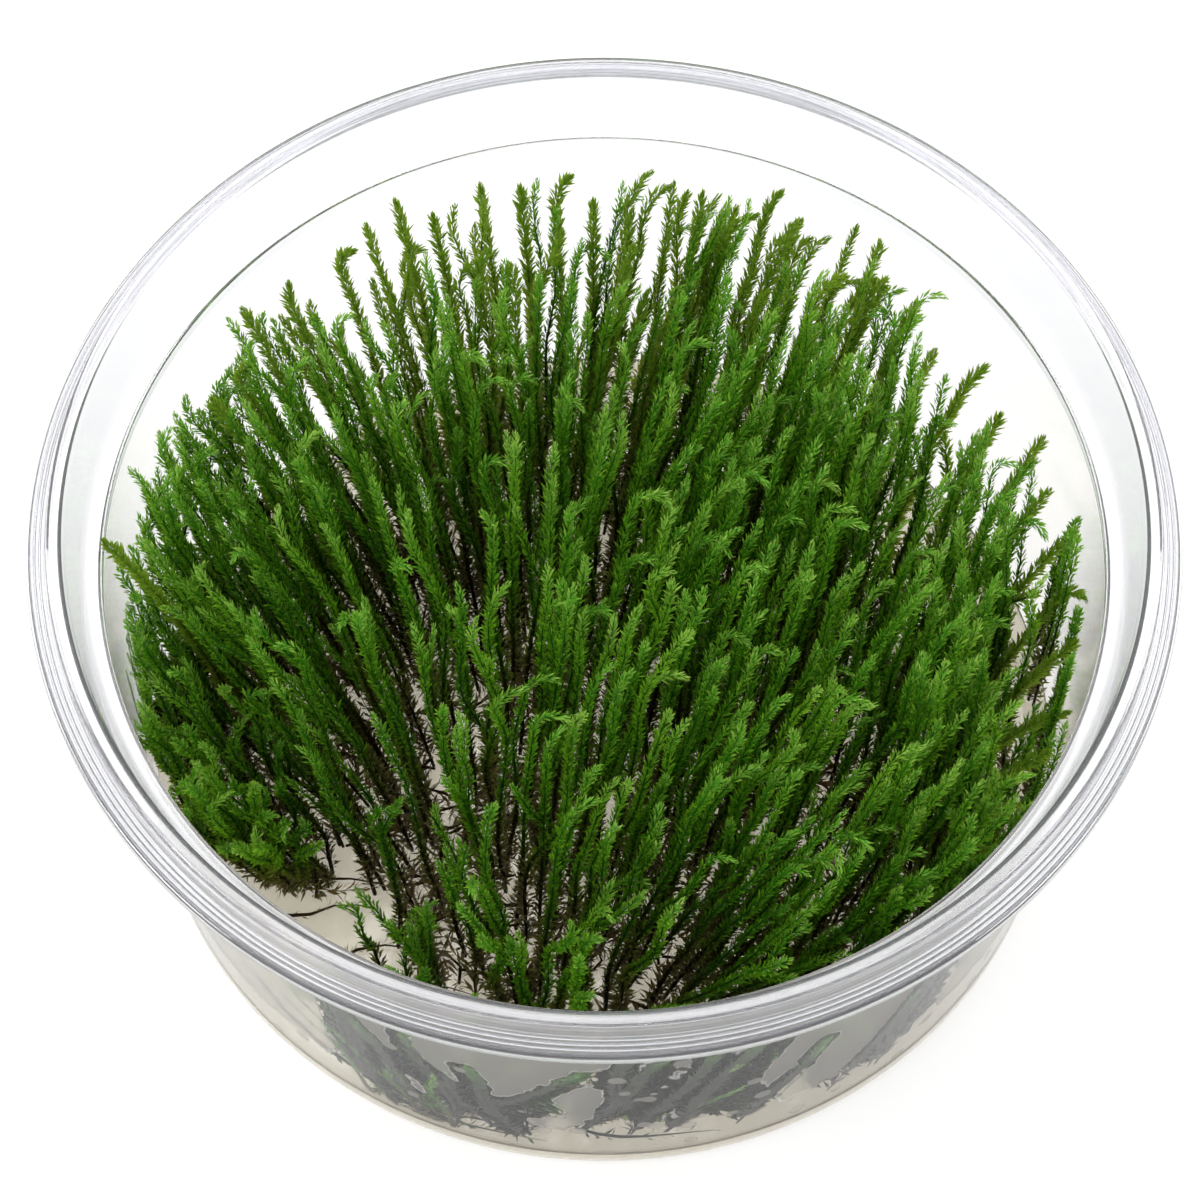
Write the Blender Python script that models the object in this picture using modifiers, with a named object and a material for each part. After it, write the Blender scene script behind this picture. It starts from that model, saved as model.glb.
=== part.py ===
"""Moss clump: a tangled cushion of upright moss shoots growing in a clear thin-walled cup.

The cup's base stands on the plane Z = 0 and its axis is the Z axis. Metres, +Z up. The dense middle of
the clump is one solid that reaches the shoots' tips, because there the shoots are matted together. The
shoots that stand free around it, and the dead stems that lie on the cup's floor, are solids of their own.
"""

import math
import random

import bmesh
import bpy
from mathutils import Vector, noise

MM = 0.001
OBJECT_NAME = "moss_clump"
GAP = 0.0003  # clear space between neighbouring solids

# The cup. Radii and heights are those of the face that the moss sees; the sheet's thickness lies outside it.
CUP_HEIGHT = 0.0527
SHEET = 0.00045
LIP_RADIUS = 0.0585
LIP_DROP = 0.0014
FLANGE_HEIGHT = 0.0501
FLANGE_INNER_RADIUS = 0.05675
BEAD_OUTER_RADIUS = 0.0563
BEAD_INNER_RADIUS = 0.05475
BEAD_ROUND = 0.0005
SHOULDER_HEIGHT = 0.0454
SHOULDER_OUTER_RADIUS = 0.05265
SHOULDER_INNER_RADIUS = 0.0513
WALL_FOOT_RADIUS = 0.0488
BASE_ROUND = 0.0036
FOOT_RING_WIDTH = 0.0018
FLOOR_HEIGHT = 0.0016
CUP_STEPS = 64

# The matted middle of the clump.
MASS_SUBDIVISIONS = 4
MASS_FOOT_RADIUS = 0.0325
MASS_TOP_RADIUS = 0.0405
MASS_EDGE_HEIGHT = 0.0330
MASS_CROWN_HEIGHT = 0.0405
MASS_FRONT_DROP = 0.0080
FULL_AZIMUTH = 242.0  # the sector where the matted middle reaches out towards the cup's wall
FULL_HALF_WIDTH = 70.0
FULL_FADE = 15.0
FULL_FOOT_GROWTH = 0.0040
FULL_TOP_GROWTH = 0.0058
MASS_LUMP = 0.0024
MASS_LUMP_SIZE = 0.0080
MASS_TUFT = 0.0019  # how far a tuft of the matted shoots stands above, or lies below, the crown's mean level
MASS_SEED = 11
MASS_SHARP_ANGLE = 35.0
BAY_AZIMUTH = 224.0  # the side where few shoots grow and the cup's floor shows
BAY_WIDTH = 22.0
BAY_DEPTH = 0.0135
NOTCH_AZIMUTH = 180.0  # where one long free shoot rises through the full sector to the cup's shoulder
NOTCH_WIDTH = 8.0
NOTCH_DEPTH = 0.0085

# A free shoot: a bare foot, a leafy middle and a pointed tip.
SHOOT_RADIUS = 0.00085
SHOOT_FOOT = 0.55
SHOOT_TIP = 0.45
SHOOT_POINTS = 6
SHOOT_RISE = 0.62  # how upright a shoot starts before it leans out

# Free shoots, anticlockwise from +X: azimuth and radius of the tip, its height, radius of the root, all in
# degrees and millimetres, and the degrees by which the root lies further round than the tip.
FREE_SHOOTS = (
    (3.0, 49.8, 35.0, 38.5, -3.0),
    (8.5, 49.2, 36.0, 37.5, -2.0),
    (14.5, 48.4, 37.0, 36.5, -1.5),
    (20.5, 49.4, 39.0, 38.0, -1.5),
    (26.0, 46.6, 38.5, 37.0, -1.0),
    (33.0, 47.6, 40.0, 36.5, 1.0),
    (39.0, 45.4, 38.5, 37.5, 1.5),
    (45.0, 47.0, 40.5, 36.5, 2.0),
    (51.5, 46.6, 40.0, 37.0, 2.0),
    (57.0, 49.8, 42.5, 37.0, 2.5),
    (65.0, 49.2, 40.5, 38.0, 1.0),
    (68.5, 49.6, 43.0, 36.5, 3.0),
    (73.0, 46.6, 42.0, 37.5, 3.0),
    (77.0, 47.2, 42.5, 36.5, 3.0),
    (81.0, 47.6, 43.0, 37.5, 2.5),
    (86.5, 44.6, 40.5, 36.5, 1.5),
    (91.5, 45.6, 41.5, 37.5, 0.5),
    (96.5, 48.6, 43.5, 36.5, 0.0),
    (101.0, 47.6, 42.5, 37.5, 0.0),
    (106.0, 48.8, 42.5, 36.5, 0.0),
    (113.0, 47.4, 41.5, 37.0, -1.0),
    (117.0, 49.6, 43.5, 37.0, -1.0),
    (121.5, 49.0, 42.5, 36.5, -1.0),
    (126.5, 49.6, 42.5, 37.5, -1.5),
    (135.0, 48.8, 41.5, 36.5, -2.0),
    (141.0, 49.4, 42.5, 37.0, -2.0),
    (147.0, 48.2, 40.5, 36.5, -2.5),
    (153.0, 46.4, 40.5, 37.0, -2.5),
    (180.0, 51.0, 46.8, 38.0, 0.0),
    (334.0, 47.6, 29.0, 37.0, 1.0),
    (340.5, 48.8, 32.0, 38.0, 0.0),
    (347.0, 48.6, 31.0, 36.5, 0.0),
    (355.5, 49.4, 33.0, 38.0, -2.0),
)

# Dead stems that lie on the cup's floor in the bay and beside it: their points in millimetres, X and Y.
STEM_RADIUS = 0.0004
LOOSE_STEMS = (
    ((-34.5, -14.5), (-30.5, -16.8), (-26.5, -16.4), (-22.6, -17.8)),
    ((-37.0, -20.5), (-32.5, -21.4), (-28.4, -19.2), (-24.0, -20.4)),
    ((-31.5, -28.6), (-27.4, -25.0), (-22.4, -24.2), (-17.6, -25.8)),
    ((-24.5, -35.5), (-22.8, -31.2), (-18.6, -28.8), (-13.8, -30.4)),
    ((-15.0, -40.5), (-10.2, -38.2), (-5.0, -39.2), (0.2, -37.8)),
    ((13.5, -40.6), (18.0, -37.6), (23.2, -38.2)),
)


def material(name, colour, roughness, transmission=0.0):
    """Returns a Principled material with the given linear colour, roughness and transmission."""
    made = bpy.data.materials.new(name)
    made.use_nodes = True
    shader = made.node_tree.nodes["Principled BSDF"]
    shader.inputs["Base Color"].default_value = (*colour, 1.0)
    shader.inputs["Roughness"].default_value = roughness
    shader.inputs["Metallic"].default_value = 0.0
    shader.inputs["Transmission Weight"].default_value = transmission
    return made


def add_object(name, data, finish, collection):
    """Links a new object with this data and material into the collection."""
    made = bpy.data.objects.new(name, data)
    data.materials.append(finish)
    collection.objects.link(made)
    return made


def arc(centre, radius, start, end, steps):
    """Returns points of a circle's arc, with angles in degrees from the profile's outward direction."""
    points = []
    for step in range(steps + 1):
        angle = math.radians(start + (end - start) * step / steps)
        points.append((centre[0] + radius * math.cos(angle), centre[1] + radius * math.sin(angle)))
    return points


def cup_profile():
    """Returns the cup's half section, from the lip's edge over the bead and down the wall to the axis."""
    foot_level = SHEET
    lip = [
        (LIP_RADIUS, FLANGE_HEIGHT - LIP_DROP),
        (LIP_RADIUS, FLANGE_HEIGHT - 0.7 * BEAD_ROUND),
        (LIP_RADIUS - 0.7 * BEAD_ROUND, FLANGE_HEIGHT),
        (FLANGE_INNER_RADIUS, FLANGE_HEIGHT),
        (BEAD_OUTER_RADIUS + 0.3 * BEAD_ROUND, FLANGE_HEIGHT + 0.6 * BEAD_ROUND),
    ]
    bead = [
        (BEAD_OUTER_RADIUS, CUP_HEIGHT - BEAD_ROUND),
        (BEAD_OUTER_RADIUS - BEAD_ROUND, CUP_HEIGHT),
        (BEAD_INNER_RADIUS + BEAD_ROUND, CUP_HEIGHT),
        (BEAD_INNER_RADIUS, CUP_HEIGHT - BEAD_ROUND),
    ]
    shoulder = [
        (SHOULDER_OUTER_RADIUS, SHOULDER_HEIGHT + BEAD_ROUND),
        (SHOULDER_OUTER_RADIUS - BEAD_ROUND, SHOULDER_HEIGHT),
        (SHOULDER_INNER_RADIUS, SHOULDER_HEIGHT - BEAD_ROUND),
    ]
    round_centre = (WALL_FOOT_RADIUS - BASE_ROUND, foot_level + BASE_ROUND)
    base = arc(round_centre, BASE_ROUND, 0.0, -90.0, 4)
    ring_inside = round_centre[0] - FOOT_RING_WIDTH
    floor_edge = ring_inside - (FLOOR_HEIGHT - foot_level)
    floor = [(ring_inside, foot_level), (floor_edge, FLOOR_HEIGHT), (0.0, FLOOR_HEIGHT)]
    return lip + bead + shoulder + base + floor


def build_cup(collection):
    """Makes the cup: its half section turned about the Z axis and given the sheet's thickness."""
    profile = cup_profile()
    mesh = bpy.data.meshes.new("cup")
    edges = [(index, index + 1) for index in range(len(profile) - 1)]
    mesh.from_pydata([(radius, 0.0, height) for radius, height in profile], edges, [])
    clear = material("clear_plastic", (0.93, 0.94, 0.95), 0.05, 1.0)
    cup = add_object("cup", mesh, clear, collection)
    turn = cup.modifiers.new("turn", "SCREW")
    turn.steps = CUP_STEPS
    turn.render_steps = CUP_STEPS
    turn.use_merge_vertices = True
    turn.merge_threshold = 0.00005
    wall = cup.modifiers.new("sheet", "SOLIDIFY")
    wall.thickness = SHEET
    wall.offset = 1.0
    wall.use_even_offset = True


def polar(radius, azimuth, height):
    """Returns the point at a radius and an azimuth in degrees about the cup's axis."""
    turn = math.radians(azimuth)
    return Vector((radius * math.cos(turn), radius * math.sin(turn), height))


def turned_degrees(azimuth, centre):
    """Returns the signed angle in degrees from centre to azimuth, between -180 and 180."""
    return (azimuth - centre + 180.0) % 360.0 - 180.0


def dent(azimuth, centre, width, depth):
    """Returns how far a smooth dent of this depth and width in degrees goes in at an azimuth."""
    return depth * math.exp(-((turned_degrees(azimuth, centre) / width) ** 2))


def mass_outline(share, azimuth):
    """Returns radius and height of the matted middle's skin, from its foot (share 0) to its crown (1)."""
    away = abs(turned_degrees(azimuth, FULL_AZIMUTH)) - FULL_HALF_WIDTH
    full = 1.0 - min(1.0, max(0.0, away / FULL_FADE))
    dents = dent(azimuth, BAY_AZIMUTH, BAY_WIDTH, BAY_DEPTH)
    dents += dent(azimuth, NOTCH_AZIMUTH, NOTCH_WIDTH, NOTCH_DEPTH)
    front = max(0.0, -math.sin(math.radians(azimuth)))
    foot_radius = MASS_FOOT_RADIUS + FULL_FOOT_GROWTH * full - dents
    top_radius = MASS_TOP_RADIUS + FULL_TOP_GROWTH * full - dents
    edge_height = MASS_EDGE_HEIGHT - MASS_FRONT_DROP * front
    foot_height = FLOOR_HEIGHT + GAP
    if share < 0.2:
        return foot_radius * share / 0.2, foot_height
    if share < 0.5:
        climb = (share - 0.2) / 0.3
        radius = foot_radius + (top_radius - foot_radius) * climb ** 1.4
        return radius, foot_height + (edge_height - foot_height) * climb
    inward = (share - 0.5) / 0.5
    crown = MASS_CROWN_HEIGHT - edge_height
    return top_radius * (1.0 - inward), edge_height + crown * math.sin(inward * math.pi / 2.0)


def build_mass(collection):
    """Makes the matted middle from a sphere that is moved to the clump's outline, with lumps and tufts."""
    chance = random.Random(MASS_SEED)
    shape = bmesh.new()
    bmesh.ops.create_icosphere(shape, subdivisions=MASS_SUBDIVISIONS, radius=1.0)
    for vertex in shape.verts:
        latitude = math.asin(max(-1.0, min(1.0, vertex.co.z)))
        share = 0.5 + latitude / math.pi
        azimuth = math.degrees(math.atan2(vertex.co.y, vertex.co.x))
        radius, height = mass_outline(share, azimuth)
        place = polar(radius, azimuth, height)
        lump = MASS_LUMP * noise.noise(place / MASS_LUMP_SIZE) + MASS_TUFT * chance.uniform(-1.0, 1.0)
        rising = min(1.0, max(0.0, (share - 0.25) / 0.2))
        vertex.co = place + Vector((0.0, 0.0, lump * rising))
    mesh = bpy.data.meshes.new("moss_mass")
    shape.to_mesh(mesh)
    shape.free()
    mesh.shade_smooth()
    mesh.set_sharp_from_angle(angle=math.radians(MASS_SHARP_ANGLE))
    add_object("moss_mass", mesh, material("moss_green", (0.02, 0.11, 0.01), 0.75), collection)


def add_tube(name, points, radii, radius, finish, collection):
    """Makes a closed round tube along the points, each with its share of the radius."""
    curve = bpy.data.curves.new(name, "CURVE")
    curve.dimensions = "3D"
    curve.bevel_depth = radius
    curve.bevel_resolution = 1
    curve.use_fill_caps = True
    spline = curve.splines.new("POLY")
    spline.points.add(len(points) - 1)
    for target, point, share in zip(spline.points, points, radii):
        target.co = (*point, 1.0)
        target.radius = share
    add_object(name, curve, finish, collection)


def build_free_shoots(collection):
    """Makes the shoots that stand free around the matted middle, each on one bowed line from root to tip."""
    finish = material("shoot_green", (0.05, 0.20, 0.015), 0.7)
    for number, (azimuth, reach, height, root_reach, swing) in enumerate(FREE_SHOOTS, start=1):
        root = polar(root_reach * MM, azimuth + swing, FLOOR_HEIGHT + GAP)
        tip = polar(reach * MM, azimuth, height * MM)
        bend = root.lerp(tip, 0.38)
        bend.z = root.z + (tip.z - root.z) * SHOOT_RISE
        points = []
        radii = []
        for step in range(SHOOT_POINTS):
            share = step / (SHOOT_POINTS - 1)
            points.append(root.lerp(bend, share).lerp(bend.lerp(tip, share), share))
            radii.append(min(1.0, SHOOT_FOOT + 2.0 * share, SHOOT_TIP + 3.0 * (1.0 - share)))
        add_tube(f"shoot_{number:02d}", points, radii, SHOOT_RADIUS, finish, collection)


def build_loose_stems(collection):
    """Makes the dead stems, which lie flat on the cup's floor."""
    finish = material("stem_brown", (0.035, 0.018, 0.008), 0.8)
    height = FLOOR_HEIGHT + GAP + STEM_RADIUS
    for number, route in enumerate(LOOSE_STEMS, start=1):
        points = [Vector((x * MM, y * MM, height)) for x, y in route]
        radii = [1.0] * len(points)
        add_tube(f"loose_stem_{number}", points, radii, STEM_RADIUS, finish, collection)


def main():
    """Clears the scene and builds the cup, the matted middle, the free shoots and the loose stems."""
    for old in list(bpy.data.objects):
        bpy.data.objects.remove(old, do_unlink=True)
    collection = bpy.data.collections.new(OBJECT_NAME)
    bpy.context.scene.collection.children.link(collection)
    build_cup(collection)
    build_mass(collection)
    build_free_shoots(collection)
    build_loose_stems(collection)


main()
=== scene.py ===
"""Looks of the moss clump: leafy moss shoots in a clear, thin-walled cup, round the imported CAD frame.

Metres, +Z up. The cup's foot stands on Z = 0 and its axis is the Z axis.
"""

from __future__ import annotations

import logging
import math
from dataclasses import dataclass, field
from enum import Enum

import bmesh
import bpy
import numpy as np
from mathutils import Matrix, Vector


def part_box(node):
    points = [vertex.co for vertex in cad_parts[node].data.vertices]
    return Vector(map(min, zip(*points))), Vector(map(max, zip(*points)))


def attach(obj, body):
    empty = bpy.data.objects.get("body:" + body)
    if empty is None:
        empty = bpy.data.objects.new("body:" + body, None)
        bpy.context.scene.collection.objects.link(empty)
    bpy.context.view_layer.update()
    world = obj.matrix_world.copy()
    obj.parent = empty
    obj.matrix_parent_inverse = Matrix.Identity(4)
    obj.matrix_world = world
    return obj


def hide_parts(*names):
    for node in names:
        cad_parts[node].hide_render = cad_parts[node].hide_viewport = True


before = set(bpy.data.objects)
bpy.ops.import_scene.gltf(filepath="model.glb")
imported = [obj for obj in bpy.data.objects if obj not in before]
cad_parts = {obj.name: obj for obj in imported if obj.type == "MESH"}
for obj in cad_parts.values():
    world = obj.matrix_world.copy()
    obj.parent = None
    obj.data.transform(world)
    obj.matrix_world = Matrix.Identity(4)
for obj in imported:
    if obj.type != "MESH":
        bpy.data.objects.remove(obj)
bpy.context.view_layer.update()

MM = 0.001
LOG = logging.getLogger("moss_clump")
GROWTH_MAP = "growth"  # along a shoot in U, from dark to pale in V; the stems have the lowest strip of V
BAKE_MAP = "OFBake"
STEM_STRIP = 0.12
SHOOT_MM = 41.0  # length of the full-grown shoot that the growth map's U runs along
WET_MAP = "wet"  # 1 where wet moss lies on the wall, falling to 0 within a few millimetres
GOLDEN_ANGLE = math.radians(137.508)
# The Mix node's colour sockets, which share their names with its other sockets.
MIX_A, MIX_B, MIX_RESULT = 6, 7, 2


# ---------------------------------------------------------------------------------------------- helpers


def linear(hex_colour: str) -> tuple[float, float, float, float]:
    """Turns an sRGB hex colour into linear RGBA.

    Args:
        hex_colour: The colour as "#rrggbb".

    Returns:
        Linear red, green and blue, and an alpha of 1.
    """
    shares = [int(hex_colour[place : place + 2], 16) / 255.0 for place in (1, 3, 5)]
    out = [s / 12.92 if s <= 0.04045 else ((s + 0.055) / 1.055) ** 2.4 for s in shares]
    return out[0], out[1], out[2], 1.0


def connect(node: bpy.types.Node, links: dict[str | int, bpy.types.NodeSocket | bpy.types.Node]) -> None:
    """Feeds a node's inputs.

    Args:
        node: The node that is fed.
        links: By input name or number, the output socket that feeds it, or a node for its first output.
    """
    for name, source in links.items():
        socket = source.outputs[0] if isinstance(source, bpy.types.Node) else source
        node.id_data.links.new(socket, node.inputs[name])


def add_node(
    tree: bpy.types.NodeTree,
    kind: str,
    settings: dict[str, object] | None = None,
    values: dict[str | int, object] | None = None,
    links: dict[str | int, bpy.types.NodeSocket | bpy.types.Node] | None = None,
    stops: tuple[tuple[float, str], ...] = (),
) -> bpy.types.Node:
    """Adds a node with its settings, input values and incoming links.

    Args:
        tree: The node tree that the node goes in.
        kind: The node's type name.
        settings: Attributes of the node.
        values: Values of input sockets, by name or number.
        links: What feeds input sockets, by name or number: output sockets, or nodes for their first output.
        stops: Place and hex colour of each stop of a colour ramp, in rising order.

    Returns:
        The new node.
    """
    node = tree.nodes.new(kind)
    for name, value in (settings or {}).items():
        setattr(node, name, value)
    for name, value in (values or {}).items():
        node.inputs[name].default_value = value
    connect(node, links or {})
    if stops:
        elements = node.color_ramp.elements
        while len(elements) < len(stops):
            elements.new(0.5)
        for element, (place, colour) in zip(elements, stops):
            element.position = place
            element.color = linear(colour)
    return node


def empty_material(name: str) -> tuple[bpy.types.Material, bpy.types.NodeTree]:
    """Makes a material with an empty node tree.

    Args:
        name: The material's name.

    Returns:
        The material and its node tree.
    """
    material = bpy.data.materials.new(name)
    material.use_nodes = True
    material.node_tree.nodes.clear()
    return material, material.node_tree


def smooth_step(value: float, low: float, high: float) -> float:
    """Returns 0 below low, 1 above high and a smooth rise between them."""
    share = min(1.0, max(0.0, (value - low) / (high - low)))
    return share * share * (3.0 - 2.0 * share)


def turned_degrees(azimuth: float, centre: float) -> float:
    """Returns the signed angle in degrees from centre to azimuth, between -180 and 180."""
    return (azimuth - centre + 180.0) % 360.0 - 180.0


# ---------------------------------------------------------------------------------------------- finishes


@dataclass(frozen=True)
class MossFinish:
    """Moist moss. Its leaves are one cell thick, so light shines through them and they gleam softly.

    The colour depends only on the growth map: how far along the shoot, and how dark or pale. Leaves are
    darkest where they clasp the stem and palest at their tips; the pale tips are partly their own colour
    and partly painted highlight, for the glint of the wet tips.

    Attributes:
        name: The material's name.
        dark: Place along the shoot and colour, for the darkest leaves.
        pale: The same for the palest leaves and leaf tips.
        stem: The same for the stem.
        shine_through: Share of the light that passes through a leaf.
        through_tint: Colour towards which the passing light turns.
        through_share: How far it turns there.
        mottle_mm: Size of the paler and darker patches.
        mottle_depth: How much paler and darker they are, as a share of the way from dark to pale.
        roughness: Roughness of the glossiest and of the dullest patches.
        ior: The wet skin's index of refraction.
        gleam: Strength of its reflection.
    """

    name: str
    dark: tuple[tuple[float, str], ...]
    pale: tuple[tuple[float, str], ...]
    stem: tuple[tuple[float, str], ...]
    shine_through: float = 0.38
    through_tint: str = "#9dbb32"
    through_share: float = 0.35
    mottle_mm: float = 1.1
    mottle_depth: float = 0.09
    roughness: tuple[float, float] = (0.28, 0.50)
    ior: float = 1.38
    gleam: float = 0.25

    def build(self) -> bpy.types.Material:
        """Makes the material.

        Returns:
            A material whose colour and gloss follow the growth map.
        """
        material, tree = empty_material(self.name)
        growth = add_node(tree, "ShaderNodeUVMap", {"uv_map": GROWTH_MAP})
        parts = add_node(tree, "ShaderNodeSeparateXYZ", links={0: growth})
        along, tone = parts.outputs["X"], parts.outputs["Y"]
        mottle = add_node(
            tree,
            "ShaderNodeTexNoise",
            {"noise_dimensions": "2D"},
            {"Scale": SHOOT_MM / self.mottle_mm, "Detail": 2.0},
            {"Vector": growth},
        )
        patches = {"From Min": 0.3, "From Max": 0.7}
        shift = add_node(
            tree,
            "ShaderNodeMapRange",
            values={**patches, "To Min": -self.mottle_depth, "To Max": self.mottle_depth},
            links={"Value": mottle},
        )
        paler = add_node(tree, "ShaderNodeMath", {"operation": "ADD"}, links={0: tone, 1: shift})
        share = add_node(
            tree,
            "ShaderNodeMapRange",
            values={"From Min": STEM_STRIP, "From Max": 1.0},
            links={"Value": paler},
        )
        dark, pale, stem = (
            add_node(tree, "ShaderNodeValToRGB", links={0: along}, stops=stops)
            for stops in (self.dark, self.pale, self.stem)
        )
        leaf = add_node(
            tree, "ShaderNodeMix", {"data_type": "RGBA"}, links={"Factor": share, MIX_A: dark, MIX_B: pale}
        )
        is_leaf = add_node(
            tree, "ShaderNodeMath", {"operation": "GREATER_THAN"}, {1: STEM_STRIP + 0.01}, {0: tone}
        )
        colour = add_node(
            tree,
            "ShaderNodeMix",
            {"data_type": "RGBA"},
            links={"Factor": is_leaf, MIX_A: stem, MIX_B: leaf.outputs[MIX_RESULT]},
        )
        gloss = add_node(
            tree,
            "ShaderNodeMapRange",
            values={**patches, "To Min": self.roughness[0], "To Max": self.roughness[1]},
            links={"Value": mottle},
        )
        skin = add_node(
            tree,
            "ShaderNodeBsdfPrincipled",
            values={"IOR": self.ior, "Specular IOR Level": self.gleam},
            links={"Base Color": colour.outputs[MIX_RESULT], "Roughness": gloss},
        )
        through = add_node(
            tree,
            "ShaderNodeMix",
            {"data_type": "RGBA"},
            {"Factor": self.through_share, MIX_B: linear(self.through_tint)},
            {MIX_A: colour.outputs[MIX_RESULT]},
        )
        glow = add_node(tree, "ShaderNodeBsdfTranslucent", links={"Color": through.outputs[MIX_RESULT]})
        both = add_node(
            tree, "ShaderNodeMixShader", values={0: self.shine_through}, links={1: skin, 2: glow}
        )
        add_node(tree, "ShaderNodeOutputMaterial", links={"Surface": both})
        return material


# Living shoots: yellow-green young tips, deep green leaves, and a brown foot that the light doesn't reach.
LIVING_MOSS = MossFinish(
    name="moist_living_moss",
    dark=(
        (0.00, "#40341f"),
        (0.20, "#463c20"),
        (0.34, "#24350c"),
        (0.52, "#0a4804"),
        (0.88, "#107806"),
        (1.00, "#5cba22"),
    ),
    pale=(
        (0.00, "#c3b394"),
        (0.20, "#ab9c73"),
        (0.34, "#a3a848"),
        (0.52, "#8ad82b"),
        (0.85, "#b9f043"),
        (1.00, "#ecfb90"),
    ),
    stem=((0.00, "#24150c"), (0.28, "#2c1e0e"), (0.45, "#24400f"), (0.80, "#2b6314"), (1.00, "#5f9a2a")),
)

# Shoots that stand against the light: the same leaves, letting more light through; their olive colours are
# painted light, for the backlight that shines through them.
BACKLIT_MOSS = MossFinish(
    name="thin_backlit_moss",
    dark=((0.00, "#241a0e"), (0.25, "#34370f"), (0.50, "#386c0b"), (0.85, "#4d8a12"), (1.00, "#43800f")),
    pale=((0.00, "#b7a987"), (0.25, "#a0a848"), (0.50, "#9bc236"), (0.85, "#b9d94c"), (1.00, "#aad244")),
    stem=((0.00, "#24150c"), (0.35, "#31440f"), (1.00, "#4b7c16")),
    shine_through=0.62,
    through_tint="#bccb52",
    through_share=0.5,
)

# Shoots plastered on the wall: soaked, which darkens them, and painted darker still with the shade of the
# shoots behind them, so they look dark and dull.
SOAKED_AND_SHADE_PAINTED_MOSS = MossFinish(
    name="soaked_shade_painted_moss",
    dark=((0.0, "#120e08"), (0.4, "#0f1307"), (0.7, "#141f08"), (1.0, "#1f5f10")),
    pale=((0.0, "#453c28"), (0.4, "#39401c"), (0.7, "#48611e"), (1.0, "#8fce35")),
    stem=((0.0, "#150e08"), (0.7, "#181d09"), (1.0, "#2b5c14")),
    shine_through=0.15,
)

# Dead stems: rotted brown all along, with straw-pale leaf remains.
DEAD_MOSS = MossFinish(
    name="wet_dead_moss",
    dark=((0.0, "#574a2e"), (0.5, "#675a38"), (0.8, "#53542a"), (1.0, "#5a2a20")),
    pale=((0.0, "#cbbd9c"), (0.5, "#ddd2b4"), (0.8, "#aaad6b"), (1.0, "#b0744f")),
    stem=((0.0, "#2a1c11"), (0.6, "#3d2a17"), (1.0, "#431d15")),
    shine_through=0.5,
    through_tint="#c2ae7c",
)


@dataclass(frozen=True)
class Polypropylene:
    """Clear polypropylene sheet, drawn hot over a polished mould: glossy, very slightly milky and wavy.

    Attributes:
        name: The material's name.
        roughness: Roughness of the face.
        clearness: Share of light that passes straight; the rest is the plastic's milkiness.
        tint: Colour of the sheet.
        ior: The sheet's index of refraction.
        wave_mm: Size of the waves that the hot sheet froze in.
        wave_depth_mm: Their depth.
        wave_strength: How far they turn the face.
    """

    name: str
    roughness: float = 0.04
    clearness: float = 0.95
    tint: str = "#fbfbfe"
    ior: float = 1.49
    wave_mm: float = 9.0
    wave_depth_mm: float = 0.01
    wave_strength: float = 0.25

    def build(self) -> bpy.types.Material:
        """Makes the material.

        Returns:
            The finished material.
        """
        material, tree = empty_material(self.name)
        self.add_sheet(tree, add_node(tree, "ShaderNodeTexCoord").outputs["Object"])
        return material

    def add_sheet(self, tree: bpy.types.NodeTree, place: bpy.types.NodeSocket) -> bpy.types.Node:
        """Adds the sheet's shader, with its waves, and returns it.

        Args:
            tree: The material's node tree.
            place: Object coordinates.

        Returns:
            The sheet's shader node.
        """
        waves = add_node(
            tree,
            "ShaderNodeTexNoise",
            values={"Scale": 1.0 / (self.wave_mm * MM), "Detail": 1.0},
            links={"Vector": place},
        )
        bump = add_node(
            tree,
            "ShaderNodeBump",
            values={"Strength": self.wave_strength, "Distance": self.wave_depth_mm * MM},
            links={"Height": waves},
        )
        sheet = add_node(
            tree,
            "ShaderNodeBsdfPrincipled",
            values={
                "Base Color": linear(self.tint),
                "Roughness": self.roughness,
                "IOR": self.ior,
                "Transmission Weight": self.clearness,
            },
            links={"Normal": bump},
        )
        add_node(tree, "ShaderNodeOutputMaterial", links={"Surface": sheet})
        return sheet


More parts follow.
